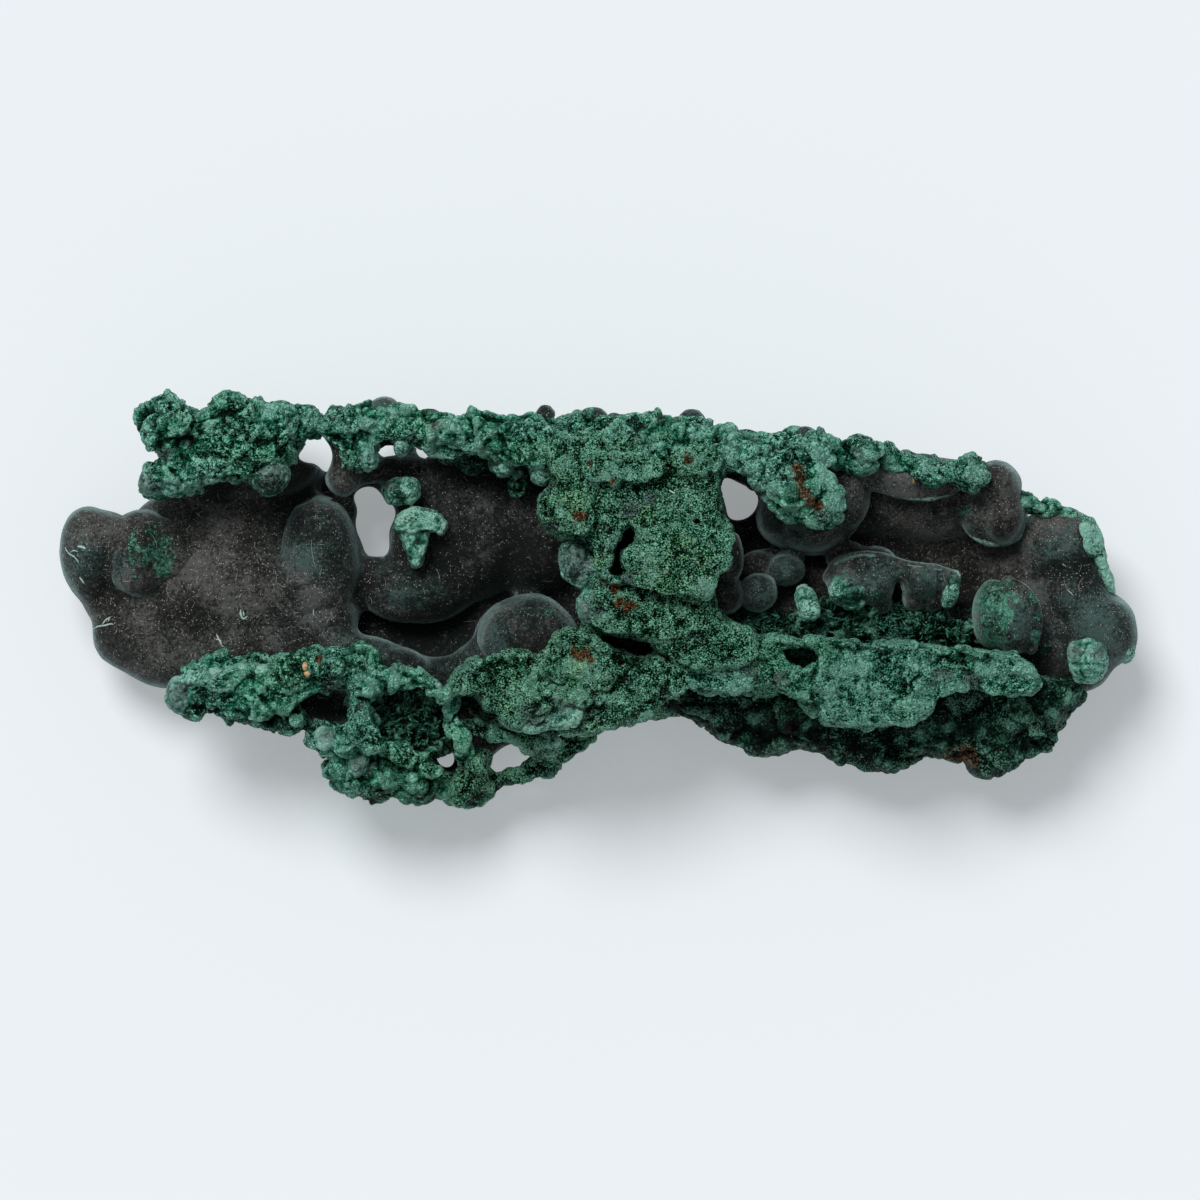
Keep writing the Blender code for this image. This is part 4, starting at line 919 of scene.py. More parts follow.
lowerLeftCrust = {
    "fanSize": 3.4, "rest": 0.8, "calm": 0.6, "windows": [holeLowLeft],
    "relief": [("slants", 6, 1.2, 40), ("domes", 4.4, 0.6, 41), ("rays", 3.4, 0.32, 5),
        ("slants", 2.8, 0.42, 44), ("creases", 2.2, 0.24, 42), ("slants", 1.3, 0.18, 43)],
    "mint": [(-79, -15.6, 2.4), (-72, -14.4, 2.4), (-66, -13.6, 2.2), (-55, -11.6, 2.6), (-49, -11.6, 2.2),
        (-41, -15.4, 2.2), (-46.5, -26, 1.6), (-45.5, -31.5, 1.8), (-42.5, -36, 2), (-38, -35.8, 2),
        (-47, -14, 2), (-30.5, -36.6, 1.4), (-47, -22.6, 2.2), (-45, -18, 1.8), (-48, -25.6, 1.8),
        (-52, -35, 1.8)],
    "greyAndPaintedLight": [(-54, -16.6, 2), (-46.6, -33.6, 1.8), (-47.6, -21, 1.6)],
    "paintedShade": [(-84, -21.6, 2.4), (-72, -24, 3), (-66, -25, 3), (-60, -13.4, 2), (-34, -39.6, 2.4),
        (-44, -39.6, 3)],
    "rust": [(-56, -11.6, 1)],
    "lobes": [
        ((-72, -20.6, 26), (5, 3.6, 6)), ((-66.5, -22.2, 26), (4.6, 3.4, 6)),
        ((-61.5, -23.8, 25), (3.6, 3, 6)), ((-57, -13.4, 33), (4, 3.8, 5)),
        ((-51.4, -12.6, 33), (4.2, 3, 4.6)), ((-47, -12.2, 33), (2.8, 3.2, 4.6)),
        ((-54, -16, 31), (4.4, 2.2, 4)), ((-55.2, -27.4, 26), (3.6, 3.4, 6)),
        ((-50.8, -28.4, 28), (4, 3.4, 6)), ((-50.2, -34.2, 20), (5.4, 5.2, 9)),
        ((-44, -35.4, 21), (5.8, 5.4, 9)), ((-37, -36, 20), (5.4, 5, 9)), ((-34.6, -33.4, 24), (2.8, 3.8, 7)),
        ((-31.2, -37.8, 15), (4, 2.6, 8)), ((-42, -32, 12), (13, 7, 9)), ((-70, -14.6, 20), (14, 4.6, 9)),
    ],
    "ridges": [
        [(-82.4, -19.4, 27, 3.9), (-77.5, -18.6, 29, 4.9), (-71, -18.4, 30, 5.7), (-65, -17.8, 31, 5.5),
         (-60, -15.2, 32, 4.7)],
        [(-48, -15.6, 33, 2.4), (-44, -15.6, 33, 2.4), (-40, -16, 33, 2), (-35.6, -16.4, 33, 2),
         (-32, -18.6, 32, 1.7)],
        [(-30.8, -18.6, 29, 1.3), (-30.4, -22.6, 27, 1.5), (-28.6, -26.4, 26, 2.2), (-27.6, -30, 24, 2.4)],
        [(-42, -29.6, 30, 2.2), (-38, -31, 29, 2.6), (-34, -31.6, 28, 2.4)],
    ],
    "plates": [
        ([(-50, -13.6), (-46, -12), (-42.6, -14.4), (-44.6, -18), (-45.6, -21), (-44.6, -25), (-42.4, -30),
          (-46, -31), (-49.4, -27), (-50.2, -20)], 36, 14),
    ],
}
grow("lowerLeftCrust", lowerLeftCrust, brightFinish)

pocketCrust = {
    "soften": 1, "fanSize": 2.6,
    "relief": [("slants", 3.6, 1.5, 45), ("slants", 1.6, 0.7, 46), ("creases", 1.2, 0.35, 47)],
    "lobes": [((-39, -23, 18), (9, 8, 9)), ((-36, -27, 16), (7, 5, 8))],
    "ridges": [[(-45, -19, 22, 3), (-43, -25, 22, 3), (-38, -28.6, 22, 3), (-33, -28, 20, 2.6)]],
}
grow("pocketCrust", pocketCrust, pocketFinish)

middleCrust = {
    "worn": 1.5, "crestHeight": 0.45, "browHeight": 2, "fanSize": 3, "rest": 0.5, "calm": 0.35,
    "windows": [
        holeLowRight, holeLowLeft, gapUnderCore,
        ([(-29.4, -20.6), (-27, -19.8), (-24.6, -20), (-24.4, -22.6), (-27.6, -22.6)], 12),
    ],
    "relief": [("slants", 7, 1, 50), ("domes", 4.2, 0.7, 51), ("domes", 2.1, 0.4, 53),
        ("slants", 1.2, 0.14, 52)],
    "rust": [(-3.5, -10.8, 2), (-5, -10.4, 1.5), (-2, -11.8, 1.2)],
    "mint": [(-14, -16.4, 2.4), (-12.4, -13, 1.8), (-16, -20.6, 1.8), (-7, -13.5, 3), (-2, -14.5, 3),
        (-7.4, -9, 1.6), (-4, -18, 2.6), (1, -19, 2.4), (-9.4, -16, 2), (-27, -14, 1.4)],
    "glow": [(-5, -14, 4.5), (0, -17, 3)],
    "greyAndPaintedLight": [(-13.6, -22.6, 2.8), (-9, -22, 3), (-6, -23, 2.6), (-14, -25.4, 2)],
    "paintedShade": [(-22, -15, 3.6), (7, -14, 3.4), (3, -11, 1.8), (-18, -38, 3), (-12, -33, 2.4), (-26, -40, 2.6)],
    "lobes": [
        ((-27.8, -37.8, 15), (4.4, 3.7, 7)), ((-22.4, -37.2, 14), (2.4, 2.6, 6)),
        ((-24.4, -40, 13), (1.6, 1.8, 4)), ((-24.6, -33.6, 20), (3.2, 3.2, 6)),
        ((-14, -26.8, 24), (4.4, 3.8, 6)), ((-10.4, -29.4, 20), (3.8, 2.8, 6)),
        ((-16, -19, 14), (13, 7.6, 10)),
    ],
    "ridges": [
        [(-20.6, -35.8, 14, 2.6), (-16, -35, 14, 2.4), (-11, -32.6, 15, 2.2), (-7, -29.6, 15, 2.4),
         (-3, -27, 14, 2.2)],
        [(-26.6, -24, 26, 1.8), (-23, -26.6, 25, 1.9), (-18, -26, 25, 2.2)],
        [(-3, -20, 40, 1.8), (-7, -19, 41, 1.8), (-11, -20.6, 41, 2), (-16, -24, 39, 2)],
        # raised edges of the plates
        [(-11.6, -12.8, 40.7, 0.6), (-10.6, -10.2, 41.1, 0.8), (-8.8, -7.6, 41.2, 0.9),
         (-5.4, -6.4, 41.2, 0.9), (-2, -8, 41, 0.8), (1, -9.4, 40.9, 0.7), (4, -10.4, 40.8, 0.7),
         (5.8, -12.2, 40.4, 0.5)],
        [(-29, -16.4, 38.8, 0.6), (-26.6, -14, 39.2, 0.8), (-23, -12.2, 39.2, 0.7), (-19.6, -11.2, 39.2, 0.8),
         (-14, -10.8, 39.1, 0.7)],
        [(17, -17, 37.8, 0.6), (9.4, -22, 37.6, 0.8), (2, -24.6, 37.6, 0.7), (-5.6, -25.8, 37.8, 0.8),
         (-10.6, -24.2, 38, 0.7)],
    ],
    "plates": [
        ([(-30, -16), (-27, -13.4), (-20, -11), (-10.8, -10.2), (-8.6, -7.4), (-5, -6.6), (-1.6, -8.6),
          (4, -10.4), (6.4, -12), (12, -11.6), (18, -11.8), (17, -17), (9, -22.4), (2, -25.2), (-6, -26.4),
          (-11, -24.6), (-17, -25.4), (-22, -22), (-28.6, -20.2)], (39.4, -0.02, 0.05), 18),
        # the plate with the rust spot
        ([(-10.8, -10.4), (-8.8, -7.2), (-5, -6.2), (-1.6, -8.2), (4, -10.2), (6, -12.6), (1.4, -17.4),
          (-4, -17.6), (-9.6, -16), (-12, -13)], (41.2, -0.02, 0.05), 34, 0.7),
    ],
}
grow("middleCrust", middleCrust, mossFinish)

shelfCrust = {
    "cell": 0.46, "crestHeight": 0.45, "browHeight": 2, "fanSize": 3, "rest": 0.3, "calm": 0.5,
    "windows": [
        ([(37.2, -10.8), (39.2, -9.9), (42, -10.4), (43.6, -11.4), (41.8, -12.2), (40.6, -13.2), (38.8, -12)],
         28),
        ([(24, -11.4), (26, -11), (26.6, -12.6), (24.6, -13)], 30),
    ],
    "relief": [("slants", 7, 0.9, 60), ("domes", 4, 0.6, 61), ("domes", 2, 0.38, 63),
        ("slants", 1.2, 0.14, 62)],
    "mint": [(50, -13, 4), (64, -12, 3.4), (56, -22, 4.4), (46, -19, 3.4), (64, -20, 3), (84, -14, 3),
        (76, -13, 3), (70, -17, 3)],
    "greyAndPaintedLight": [(68, -15, 2.4), (74, -16, 2.4), (30, -14, 2.4), (36, -15.6, 2)],
    "paintedShade": [(26, -11, 3), (20, -13, 3)],
    "lobes": [((50, -15, 20), (30, 6, 12)), ((30, -14, 20), (12, 6, 12))],
    "plates": [
        ([(15, -9), (24, -7), (40, -7.6), (60, -9), (76, -10.2), (83.6, -11.2), (88, -16), (86, -18.6),
          (79, -19), (75.4, -17.6), (70, -18), (67, -20), (64.6, -23.6), (55, -25), (45, -24.4),
          (42.6, -21.4), (35, -17.4), (28, -18.4), (20, -18), (15.6, -15)], (40, 0, 0.14), 20),
        ([(38, -15.4), (42.8, -18.8), (45, -23.6), (52, -24.8), (58, -24.4), (63.8, -22.8), (66.2, -19.6),
          (70, -17.4), (66, -14), (60, -12.2), (50, -12), (42, -12.8)], (41.4, 0, 0.14), (36, 0, 0.1), 0.7),
        ([(16, -9.4), (24, -7.4), (40, -8), (60, -9.4), (76, -10.6), (83.4, -11.6), (87.6, -16),
          (85.6, -18.4), (79, -18.8), (75.4, -17.4), (70, -17.8), (66.8, -19.8), (64.4, -23.4), (55, -24.8),
          (45, -24.2), (42.4, -21.2), (35, -17.2), (28, -18.2), (20, -17.8), (15.8, -14.8)], (40.5, 0, 0.14),
         (37, 0, 0.12), 0.5),
    ],
    "ridges": [
        [(36, -17.2, 38.2, 0.5), (42.6, -21, 38, 0.7), (45.2, -24, 37.6, 0.7), (55, -24.6, 37.6, 0.7),
         (64.2, -23.2, 37.8, 0.7), (66.6, -19.8, 38.2, 0.7), (70, -17.8, 38.4, 0.7), (75.4, -17.4, 38.4, 0.7),
         (79, -18.6, 38.2, 0.7), (85.4, -18.2, 38.2, 0.6)],
        [(24, -7.6, 39.6, 0.5), (32, -7.6, 39.6, 0.7), (40, -8.2, 39.6, 0.7), (50, -8.8, 39.5, 0.7),
         (60, -9.6, 39.4, 0.7), (70, -10.2, 39.2, 0.6), (82, -11.4, 39, 0.6)],
    ],
}
grow("shelfCrust", shelfCrust, shelfFinish)

flankCrust = {
    "cell": 0.5, "worn": 2.4, "fanSize": 3.6, "calm": 0.5,
    "relief": [("slants", 7, 1.2, 65), ("domes", 4.6, 0.5, 66), ("slants", 2, 0.25, 67),
        ("creases", 1.5, 0.16, 68)],
    "rust": [(73.5, -31.2, 3.2), (70, -31, 1.6)],
    "mint": [(31, -24, 1.6), (94, -20, 1.6), (88, -27, 1.6), (84, -31, 1.6), (58, -33, 1.4), (64, -27, 1.5),
        (70, -25.6, 1.3), (76, -27, 1.6), (82, -25, 1.4), (68, -29.4, 1.2), (90, -22.6, 1.4)],
    "paintedShade": [(26, -26, 2.6), (32, -28, 2.6), (38, -26.4, 3), (44, -28, 3), (50, -28, 2.4)],
    "lobes": [
        ((33, -27.4, 15), (7, 4, 7)), ((57, -31.2, 15), (6.2, 4, 7)), ((77, -30.8, 15), (4.8, 3.9, 7)),
        ((86, -22, 18), (9, 8, 10)), ((56, -22, 13), (38, 9, 10)),
    ],
    "ridges": [[(86, -16.6, 26, 2.3), (91, -18.2, 25, 2.2), (95.2, -18.4, 23, 2)]],
    "plates": [
        ([(13, -22.4), (20.6, -23.2), (24.6, -28.7), (33, -31.8), (41, -29.8), (49, -33.2), (54, -35.4),
          (59, -35.4), (61, -33), (66.6, -31), (74, -33.8), (78, -35.2), (84, -32.4), (90.6, -27.6),
          (96.8, -20), (94.6, -16.8), (80, -14), (50, -14), (20, -12)], (30, 0.03, 0.34), (8, 0, -0.15)),
    ],
}
grow("flankCrust", flankCrust, deepFinish)

hollowCrust = {
    "cell": 0.46, "soften": 1, "fanSize": 2.6,
    "relief": [("slants", 4, 1.4, 75), ("slants", 1.7, 0.7, 76), ("creases", 1.2, 0.35, 77)],
    "mint": [(59, -7, 1.6), (54, -5.4, 1.2), (66, -8, 1.4)],
    "lobes": [
        ((50, -6.4, 15), (25, 6, 9)), ((32, -5.4, 17), (7, 4.6, 8)), ((55.4, -3.6, 20), (3.6, 3.6, 4.6)),
        ((65.6, -5, 18), (4.4, 4, 5)), ((46, -3.4, 18), (5, 3.2, 5)), ((72, -7, 17), (5, 3.4, 6)),
        ((62, -3, 15), (4, 4, 6)),
    ],
}
grow("hollowCrust", hollowCrust, deepFinish)

upperRightCrust = {
    "fanSize": 3.4, "rest": 0.8, "calm": 0.7, "windows": [holeRight],
    "relief": [("slants", 5.6, 1.1, 70), ("domes", 4, 0.8, 71), ("rays", 3.4, 0.25, 5),
        ("slants", 1.7, 0.24, 73), ("creases", 1.5, 0.15, 72)],
    "rust": [(39, 26, 1.6), (39.6, 24, 1.5), (40.8, 21.5, 1.6), (42, 19.6, 2), (43.6, 19, 1.2)],
    "mint": [(46.6, 19, 3.4), (46, 24, 3), (44, 28, 2.2), (30, 25.4, 3), (34, 22, 3), (37, 17, 2.8),
        (26, 28, 2.6), (53, 27, 2.6), (74.4, 26, 2.6), (65, 25.6, 2.4), (42, 15.4, 2)],
    "paintedShade": [(37.6, 29, 2.2), (40.6, 27, 1.6), (49, 31.4, 1.6)],
    "greyAndPaintedLight": [(51.6, 29.4, 2), (44, 17, 2), (31, 21.4, 1.6)],
    "lobes": [
        ((52, 28.4, 31.6), (4.8, 4, 5.6)), ((66.4, 25, 31), (4.4, 2.4, 3.4)),
        ((74.4, 25.4, 30), (3.7, 3.9, 6)), ((62.5, 27, 30), (2.6, 2, 3)),
    ],
    "ridges": [
        [(23, 30.6, 36, 4.4), (30, 29.8, 34, 3.6), (38, 30.2, 32, 3.8), (46, 29.4, 31, 3.7),
         (54, 28.4, 30, 3.4), (62, 26.8, 28, 2.7), (70, 24.8, 27, 2.2), (78, 23.8, 25, 2.2), (84, 20, 23, 2),
         (91, 17.8, 22, 1.9), (97.4, 15.2, 21, 2)],
        [(23, 30.4, 38, 4.4), (29, 28.8, 40, 3.9), (34, 25.8, 41, 4.3), (38.4, 21, 41, 4.9)],
        [(43, 31, 38, 3.2), (43.2, 26, 40, 3.6), (44.8, 20.6, 40, 4.3)],
        [(38.8, 18.4, 40, 3.8), (42.4, 17.4, 40, 3.8), (45.8, 18, 40, 3.4)],
    ],
}
grow("upperRightCrust", upperRightCrust, rightFinish)

paleNubs = {
    "cell": 0.36, "worn": 0.8, "crestHeight": 0.35, "browHeight": 1.6, "fanSize": 3.4, "calm": 0.5,
    "relief": [("domes", 3, 0.34, 81), ("rays", 3.4, 0.16, 5), ("creases", 1.3, 0.1, 82)],
    "paintedShade": [(-40, 21, 2), (50, 1, 3), (-36, 12, 1.4), (-38.4, 9, 1.2), (-66, 22.8, 3.6), (-12, -22, 3),
        (-5.4, 5, 1.4)],
    "greyAndPaintedLight": [(-42, 22.6, 1.4), (50, 4, 2), (-84, -19, 3.6), (99.6, -10.6, 2), (95, -10, 2), (-66, 25, 4.2),
        (-90, 23, 3.4), (-5, 7.6, 4.6), (-2, -1.4, 3), (-86.6, 29.4, 2), (-48.6, -32.6, 2.2), (-54.8, -27, 2),
        (-13, -22.8, 3)],
    "mint": [(98, 12, 3.8), (100.4, 7, 3), (102, 3, 2), (-77.4, 27, 2), (-34, 16, 2), (-82, 24.6, 2)],
    "lobes": [
        ((-41, 21.6, 22.6), (2.6, 2.8, 4.2)), ((-38.4, 22, 23.4), (2.6, 2.9, 4.2)),
        ((105.4, -9.6, 17), (2, 3, 5)), ((49.2, 1.9, 27.4), (3.7, 2.9, 4.2)),
        ((50.4, -0.4, 25.6), (2.6, 1.6, 4)),
        # the knob at the right end
        ((97.8, -12.2, 24), (3.9, 4.6, 5.2)),
        # the smooth end of the ridge at the lower left
        ((-83.6, -19.2, 27.4), (3.1, 3.8, 4.6)),
        # smooth lobes along the lower edge of the block
        ((-89.4, 23.6, 31), (2.9, 3, 4)), ((-84.6, 23.6, 33), (3.6, 3.2, 4)),
        ((-77.6, 26.2, 34), (2.9, 3.3, 4)), ((-86.6, 29.6, 31), (1.8, 2.2, 3)),
        ((-66, 25.2, 31.4), (4.2, 4.5, 5.6)),
        # and along the rim, the core and the lower crust
        ((-39.6, 30.8, 31), (1.8, 2.2, 3)), ((-46.4, 28.2, 32), (2.2, 2.6, 3.4)),
        ((-19.4, 26.6, 31), (2, 2.2, 3)), ((-11.6, 25.2, 33), (2.4, 2.5, 3.4)),
        ((-5.4, 7.8, 37), (3, 4.7, 4.4)), ((-3, 5.6, 37), (3, 3.4, 4)), ((-2.4, -1.2, 36), (2.4, 3.6, 5)),
        ((-48.6, -32.4, 27), (2.6, 3, 4)), ((-54.8, -27.6, 29), (2.4, 2.6, 4)),
        ((-10.6, -28.4, 23), (2.8, 2.2, 4)), ((20.6, 2.4, 44), (2, 2.6, 3)),
    ],
    "ridges": [
        [(40.9, 0.8, 26, 2.2), (41.9, -2.2, 29, 2.3)],
        [(71, 4.8, 25, 1.3), (70.4, 2, 26, 1.6), (69.4, -0.4, 25, 1.3)],
        # folds on the knob
        [(94.8, -9.4, 25.6, 1.3), (95, -13, 26, 1.4), (95.8, -16, 24.6, 1.1)],
        [(96.6, -8.8, 26, 1.2), (99.6, -9.2, 26.6, 1.2), (100.6, -12, 25.6, 1.2), (99.6, -15.2, 24.6, 1.1)],
        # a smooth band along the top of the lower left ridge
        [(-84, -17.4, 28.6, 2.4), (-80.4, -15.8, 30.4, 2), (-75, -14.9, 31.6, 1.6), (-69, -14.4, 32.2, 1.5),
         (-63, -13.6, 33, 1.4)],
    ],
    "plates": [
        # a smooth wedge over the middle crust
        ([(-17, -24.6), (-15, -21.2), (-9, -18.8), (-4, -18.4), (-3.2, -22), (-5, -25.4), (-10, -25.6),
          (-14, -26.6)], (41.6, 0, 0.05), 34),
        # a cap with its stem
        ([(-41.4, 14.4), (-40.2, 17.2), (-37.4, 18.6), (-34.6, 18.2), (-32, 17.2), (-30.5, 15), (-31.6, 13),
          (-34, 13.8), (-38, 13.2)], 27, 22),
        ([(-40, 14.4), (-34.4, 14.4), (-34.8, 10.4), (-35.8, 7), (-37.6, 6.6), (-38.8, 9.4)], 25.6, 17),
        # a bright strip down the right end
        ([(95.4, 15), (98.4, 15.8), (100.4, 13.4), (101.4, 9), (102.6, 4.6), (103.2, 1.2), (101.8, 1.8),
          (100.4, 4.8), (98.6, 8), (96.4, 9.4), (95.2, 12)], (53, -0.3, 0.05), 14),
    ],
}
grow("paleNubs", paleNubs, paleFinish)

backCrust = {
    "cell": 0.9, "room": 1.2, "crestHeight": 0.7, "browHeight": 2.6,
    "relief": [("domes", 6.5, 1.6, 91), ("slants", 2.8, 0.7, 92)],
    "windows": [holeRight, holeRimMiddle, holeRimLeft],
    "ridges": [
        [(-47, 33.4, 20, 2.6), (-40, 33.8, 21, 3.4), (-33, 31.4, 22, 4), (-20, 30.6, 22, 5),
         (-4, 30.4, 20, 6), (14, 30, 18, 6.4), (32, 28.6, 16, 5), (50, 27, 15, 4.6), (66, 23.6, 15, 4.4),
         (80, 18.6, 15, 4)],
        [(-46, 32.4, 12, 3), (-40, 32.6, 12, 3.6), (-33, 29.4, 12, 5), (-4, 29, 11, 6.4), (32, 25.6, 9, 6),
         (62, 21, 9, 5.6), (80, 15, 9, 5)],
    ],
}
grow("backCrust", backCrust, deepFinish)

# thin pale lips that edge the dark lobes, each a slim tube half sunk in its lobe: partly a real pale lip,
# partly a painted sheen highlight along the lobe's turning edge
lipsAndPaintedSheen = {
    "cell": 0.26, "crestHeight": 0.3, "browHeight": 1.2, "fanSize": 3,
    "relief": [("waves", 2, 0.15, 85), ("creases", 0.9, 0.08, 86)],
    "greyAndPaintedLight": [(60, 8, 60), (-14, -1, 12), (-37, -3, 10)],
    "ridges": [
        [(-38, -12.4, 25.4, 0.35), (-35, -14.6, 26.4, 0.55), (-32.6, -16.8, 26.8, 0.7),
         (-30.6, -19, 26.4, 0.55)],
        # the swell's lower edge
        [(-44, -1.8, 14.4, 0.3), (-41, -3.4, 14.6, 0.4), (-37.4, -4.1, 14.8, 0.45), (-33.4, -3.4, 14.8, 0.4),
         (-29.8, -1.6, 13.4, 0.3)],
        # the hanging lobe, and the lobe at its right
        [(33.4, 13.4, 19.6, 0.4), (37.2, 10.8, 20.6, 0.55), (42, 9.8, 21.6, 0.6), (46.8, 10.6, 22.6, 0.55),
         (50.2, 13.8, 24.4, 0.45)],
        [(73, 15.4, 20.3, 0.4), (74.6, 12.9, 21.4, 0.55), (77.6, 11.4, 22.3, 0.6), (80.9, 11.2, 22.3, 0.6),
         (83.9, 12.8, 22.3, 0.5), (85.2, 16, 22.2, 0.35)],
        # the neck between them
        [(57, 21.6, 28.4, 0.35), (61, 20.6, 28.5, 0.5), (65.6, 20.2, 28.5, 0.5), (69.8, 21.2, 28.4, 0.4),
         (72, 23, 27.2, 0.3)],
        # the saddle
        [(45.6, 5, 25.2, 0.4), (47.8, 7.6, 27, 0.55), (51.6, 8.8, 28, 0.6), (56, 8.4, 28, 0.5),
         (61, 6.8, 27, 0.5), (66, 6.2, 26, 0.45), (70.4, 5.4, 25.2, 0.4)],
    ],
}
grow("lipsAndPaintedSheen", lipsAndPaintedSheen, paleFinish)


# loose things lying on the specimen

def landing(x, y):
    # where a thing dropped at (x, y) comes to rest: the highest place there, in millimetres, and whose it is
    dropHeight = 0.1
    best = None
    for piece in grown:
        found, place, facing, face = piece.ray_cast((x * mm, y * mm, dropHeight), (0, 0, -1))
        if found and (best is None or place.z > best[0].z):
            best = (place, piece.name)
    return (None, "") if best is None else (np.array(best[0]) / mm, best[1])


def relaxedLine(heights):
    # each height becomes the mean of itself and its two neighbours, so a strand bridges small pits
    padded = np.concatenate([heights[:1], heights, heights[-1:]])
    return np.maximum(heights, (padded[:-2] + padded[1:-1] + padded[2:]) / 3)


def strandRings(flatPath, radius, flatness):
    # a small triangle carried along a path laid on the surface, drawn in to nothing at both ends
    spine = np.array([place for place, owner in (landing(x, y) for x, y in flatPath) if owner])
    spine[:, 2] = relaxedLine(spine[:, 2]) + 0.5 * radius * flatness
    ahead = unitRows(np.gradient(spine[:, :2], axis=0))
    side = np.column_stack([-ahead[:, 1], ahead[:, 0], np.zeros(len(spine))])
    slim = radius * np.sqrt(np.maximum(1 - np.linspace(-1, 1, len(spine)) ** 2, 0.02))
    u = np.array([math.pi / 2, math.pi * 7 / 6, math.pi * 11 / 6])[None, :, None]
    reach = side[:, None] * np.cos(u) + flatness * np.array([0, 0, 1.0]) * np.sin(u)
    return spine[:, None] + slim[:, None, None] * reach


def scattered(draw, patches, *throws):
    # things thrown at random over the patches (low x, low y, high x, high y, count): the place and heading of
    # each, and what the throws give it
    for lowX, lowY, highX, highY, count in patches:
        x, y = draw.uniform(lowX, highX, count), draw.uniform(lowY, highY, count)
        heading = draw.uniform(0, 2 * math.pi, count)
        yield from zip(x, y, heading, *(throw(count) for throw in throws))


def strayRings(look):
    # strands, each a bent arc whose heading turns evenly along its length, kept where they lie about level
    draw = np.random.default_rng(look["seed"])
    strays = scattered(
        draw, look["patches"], lambda count: draw.normal(0, look["bend"], count),
        lambda count: look["shortest"] + draw.exponential(look["spread"], count))
    steps, middle = 6, 3
    stacks = []
    for x, y, heading, bend, length in strays:
        turn = heading + bend * np.linspace(-1, 1, steps + 1)
        walk = np.cumsum(np.column_stack([np.cos(turn), np.sin(turn)]) * length / steps, axis=0)
        flatPath = np.array([x, y]) + walk - walk[middle]
        landed = [landing(*spot) for spot in flatPath[[0, middle, steps]]]
        heights = [place[2] for place, owner in landed if owner in look["on"]]
        if len(heights) == len(landed) and max(heights) - min(heights) < look["steepest"]:
            stacks.append(strandRings(flatPath, look["radius"] * draw.uniform(*look["thickness"]), 1.0))
    return stacks


def strewnRings(base, look):
    # copies of one small stack of rings, each sized, leaned over, turned about the upright and set down
    draw = np.random.default_rng(look["seed"])
    strewn = scattered(
        draw, look["patches"], lambda count: draw.uniform(*look["lean"], count),
        lambda count: draw.uniform(*look["size"], count) * draw.uniform(0.6, 1.0, count))
    stacks = []
    for x, y, turn, lean, size in strewn:
        place, owner = landing(x, y)
        if owner not in look["on"]:
            continue
        c, s = math.cos(lean), math.sin(lean)
        leaned = np.array([[c, 0, s], [0, 1, 0], [-s, 0, c]])
        c, s = math.cos(turn), math.sin(turn)
        turned = np.array([[c, -s, 0], [s, c, 0], [0, 0, 1]])
        stacks.append(place + size * base @ (turned @ leaned).T)
    return stacks


def looseMaterial(name, look):
    # between two colours by fine noise
    tree = NodeTree(name)
    share = tree.noise(look["grains"], 3.0, 0.7)
    colour = tree.ramp(share, (0.38, look["low"]), (0.62, look["high"]))
    return tree.shade({"Base Color": colour, "Roughness": look["roughness"], "Specular IOR Level": 0.4})


laid = []


def lay(name, stacks, look):
    # kept apart from the grown pieces until the end, so that nothing lands on a loose thing
    piece = pieceFromRings(name, stacks)
    piece.data.shade_smooth()
    print("%s: %d, %d faces" % (name, len(stacks), len(piece.data.polygons)))
    laid.append((piece, looseMaterial(name, look)))


velvets = ["darkWalls", "velvetLobes"]

# slim crystal blades standing in the dark pockets: four corners round, narrowing from root to tip
blades = {
    "seed": 3, "on": ["hollowCrust", "pocketCrust", "flankCrust", "darkWalls"], "lean": (0.5, 1.35),
    "size": (0.9, 2.3),
    "patches": [(26, -9, 78, -1.5, 420), (-45, -28.5, -31, -18.5, 190), (78, -12, 90, -8, 24)],
    "low": (0.004, 0.03, 0.018), "high": (0.06, 0.26, 0.17), "grains": 900, "roughness": 0.32,
}
bladeShape = np.array([
    [(width, 0, rise), (0, 0.12, rise), (-width, 0, rise), (0, -0.12, rise)]
    for width, rise in ((0.20, -0.15), (0.26, 0.45), (0.17, 0.85), (0.03, 1.0))
])
lay("blades", strewnRings(bladeShape, blades), blades)

# pale dust, each crumb a lump of three rings of four corners
crumbs = {
    "seed": 4, "on": velvets, "lean": (0, 3), "size": (0.05, 0.18),
    "patches": [(-106, -22, -50, 22, 300), (-48, 4, -8, 28, 120), (-24, -12, -8, 0, 30),
        (40, -2, 104, 26, 150), (88, -12, 106, 4, 36), (-68, 23.4, -63, 27, 12)],
    "low": (0.42, 0.39, 0.33), "high": (0.82, 0.8, 0.74), "grains": 1200, "roughness": 0.7,
}
crumbShape = np.array([
    [(width, 0, rise), (0, 0.8 * width, rise), (-width, 0, rise), (0, -0.8 * width, rise)]
    for width, rise in ((0.5, -0.5), (1.0, 0.1), (0.5, 0.7))
])
lay("crumbs", strewnRings(crumbShape, crumbs), crumbs)

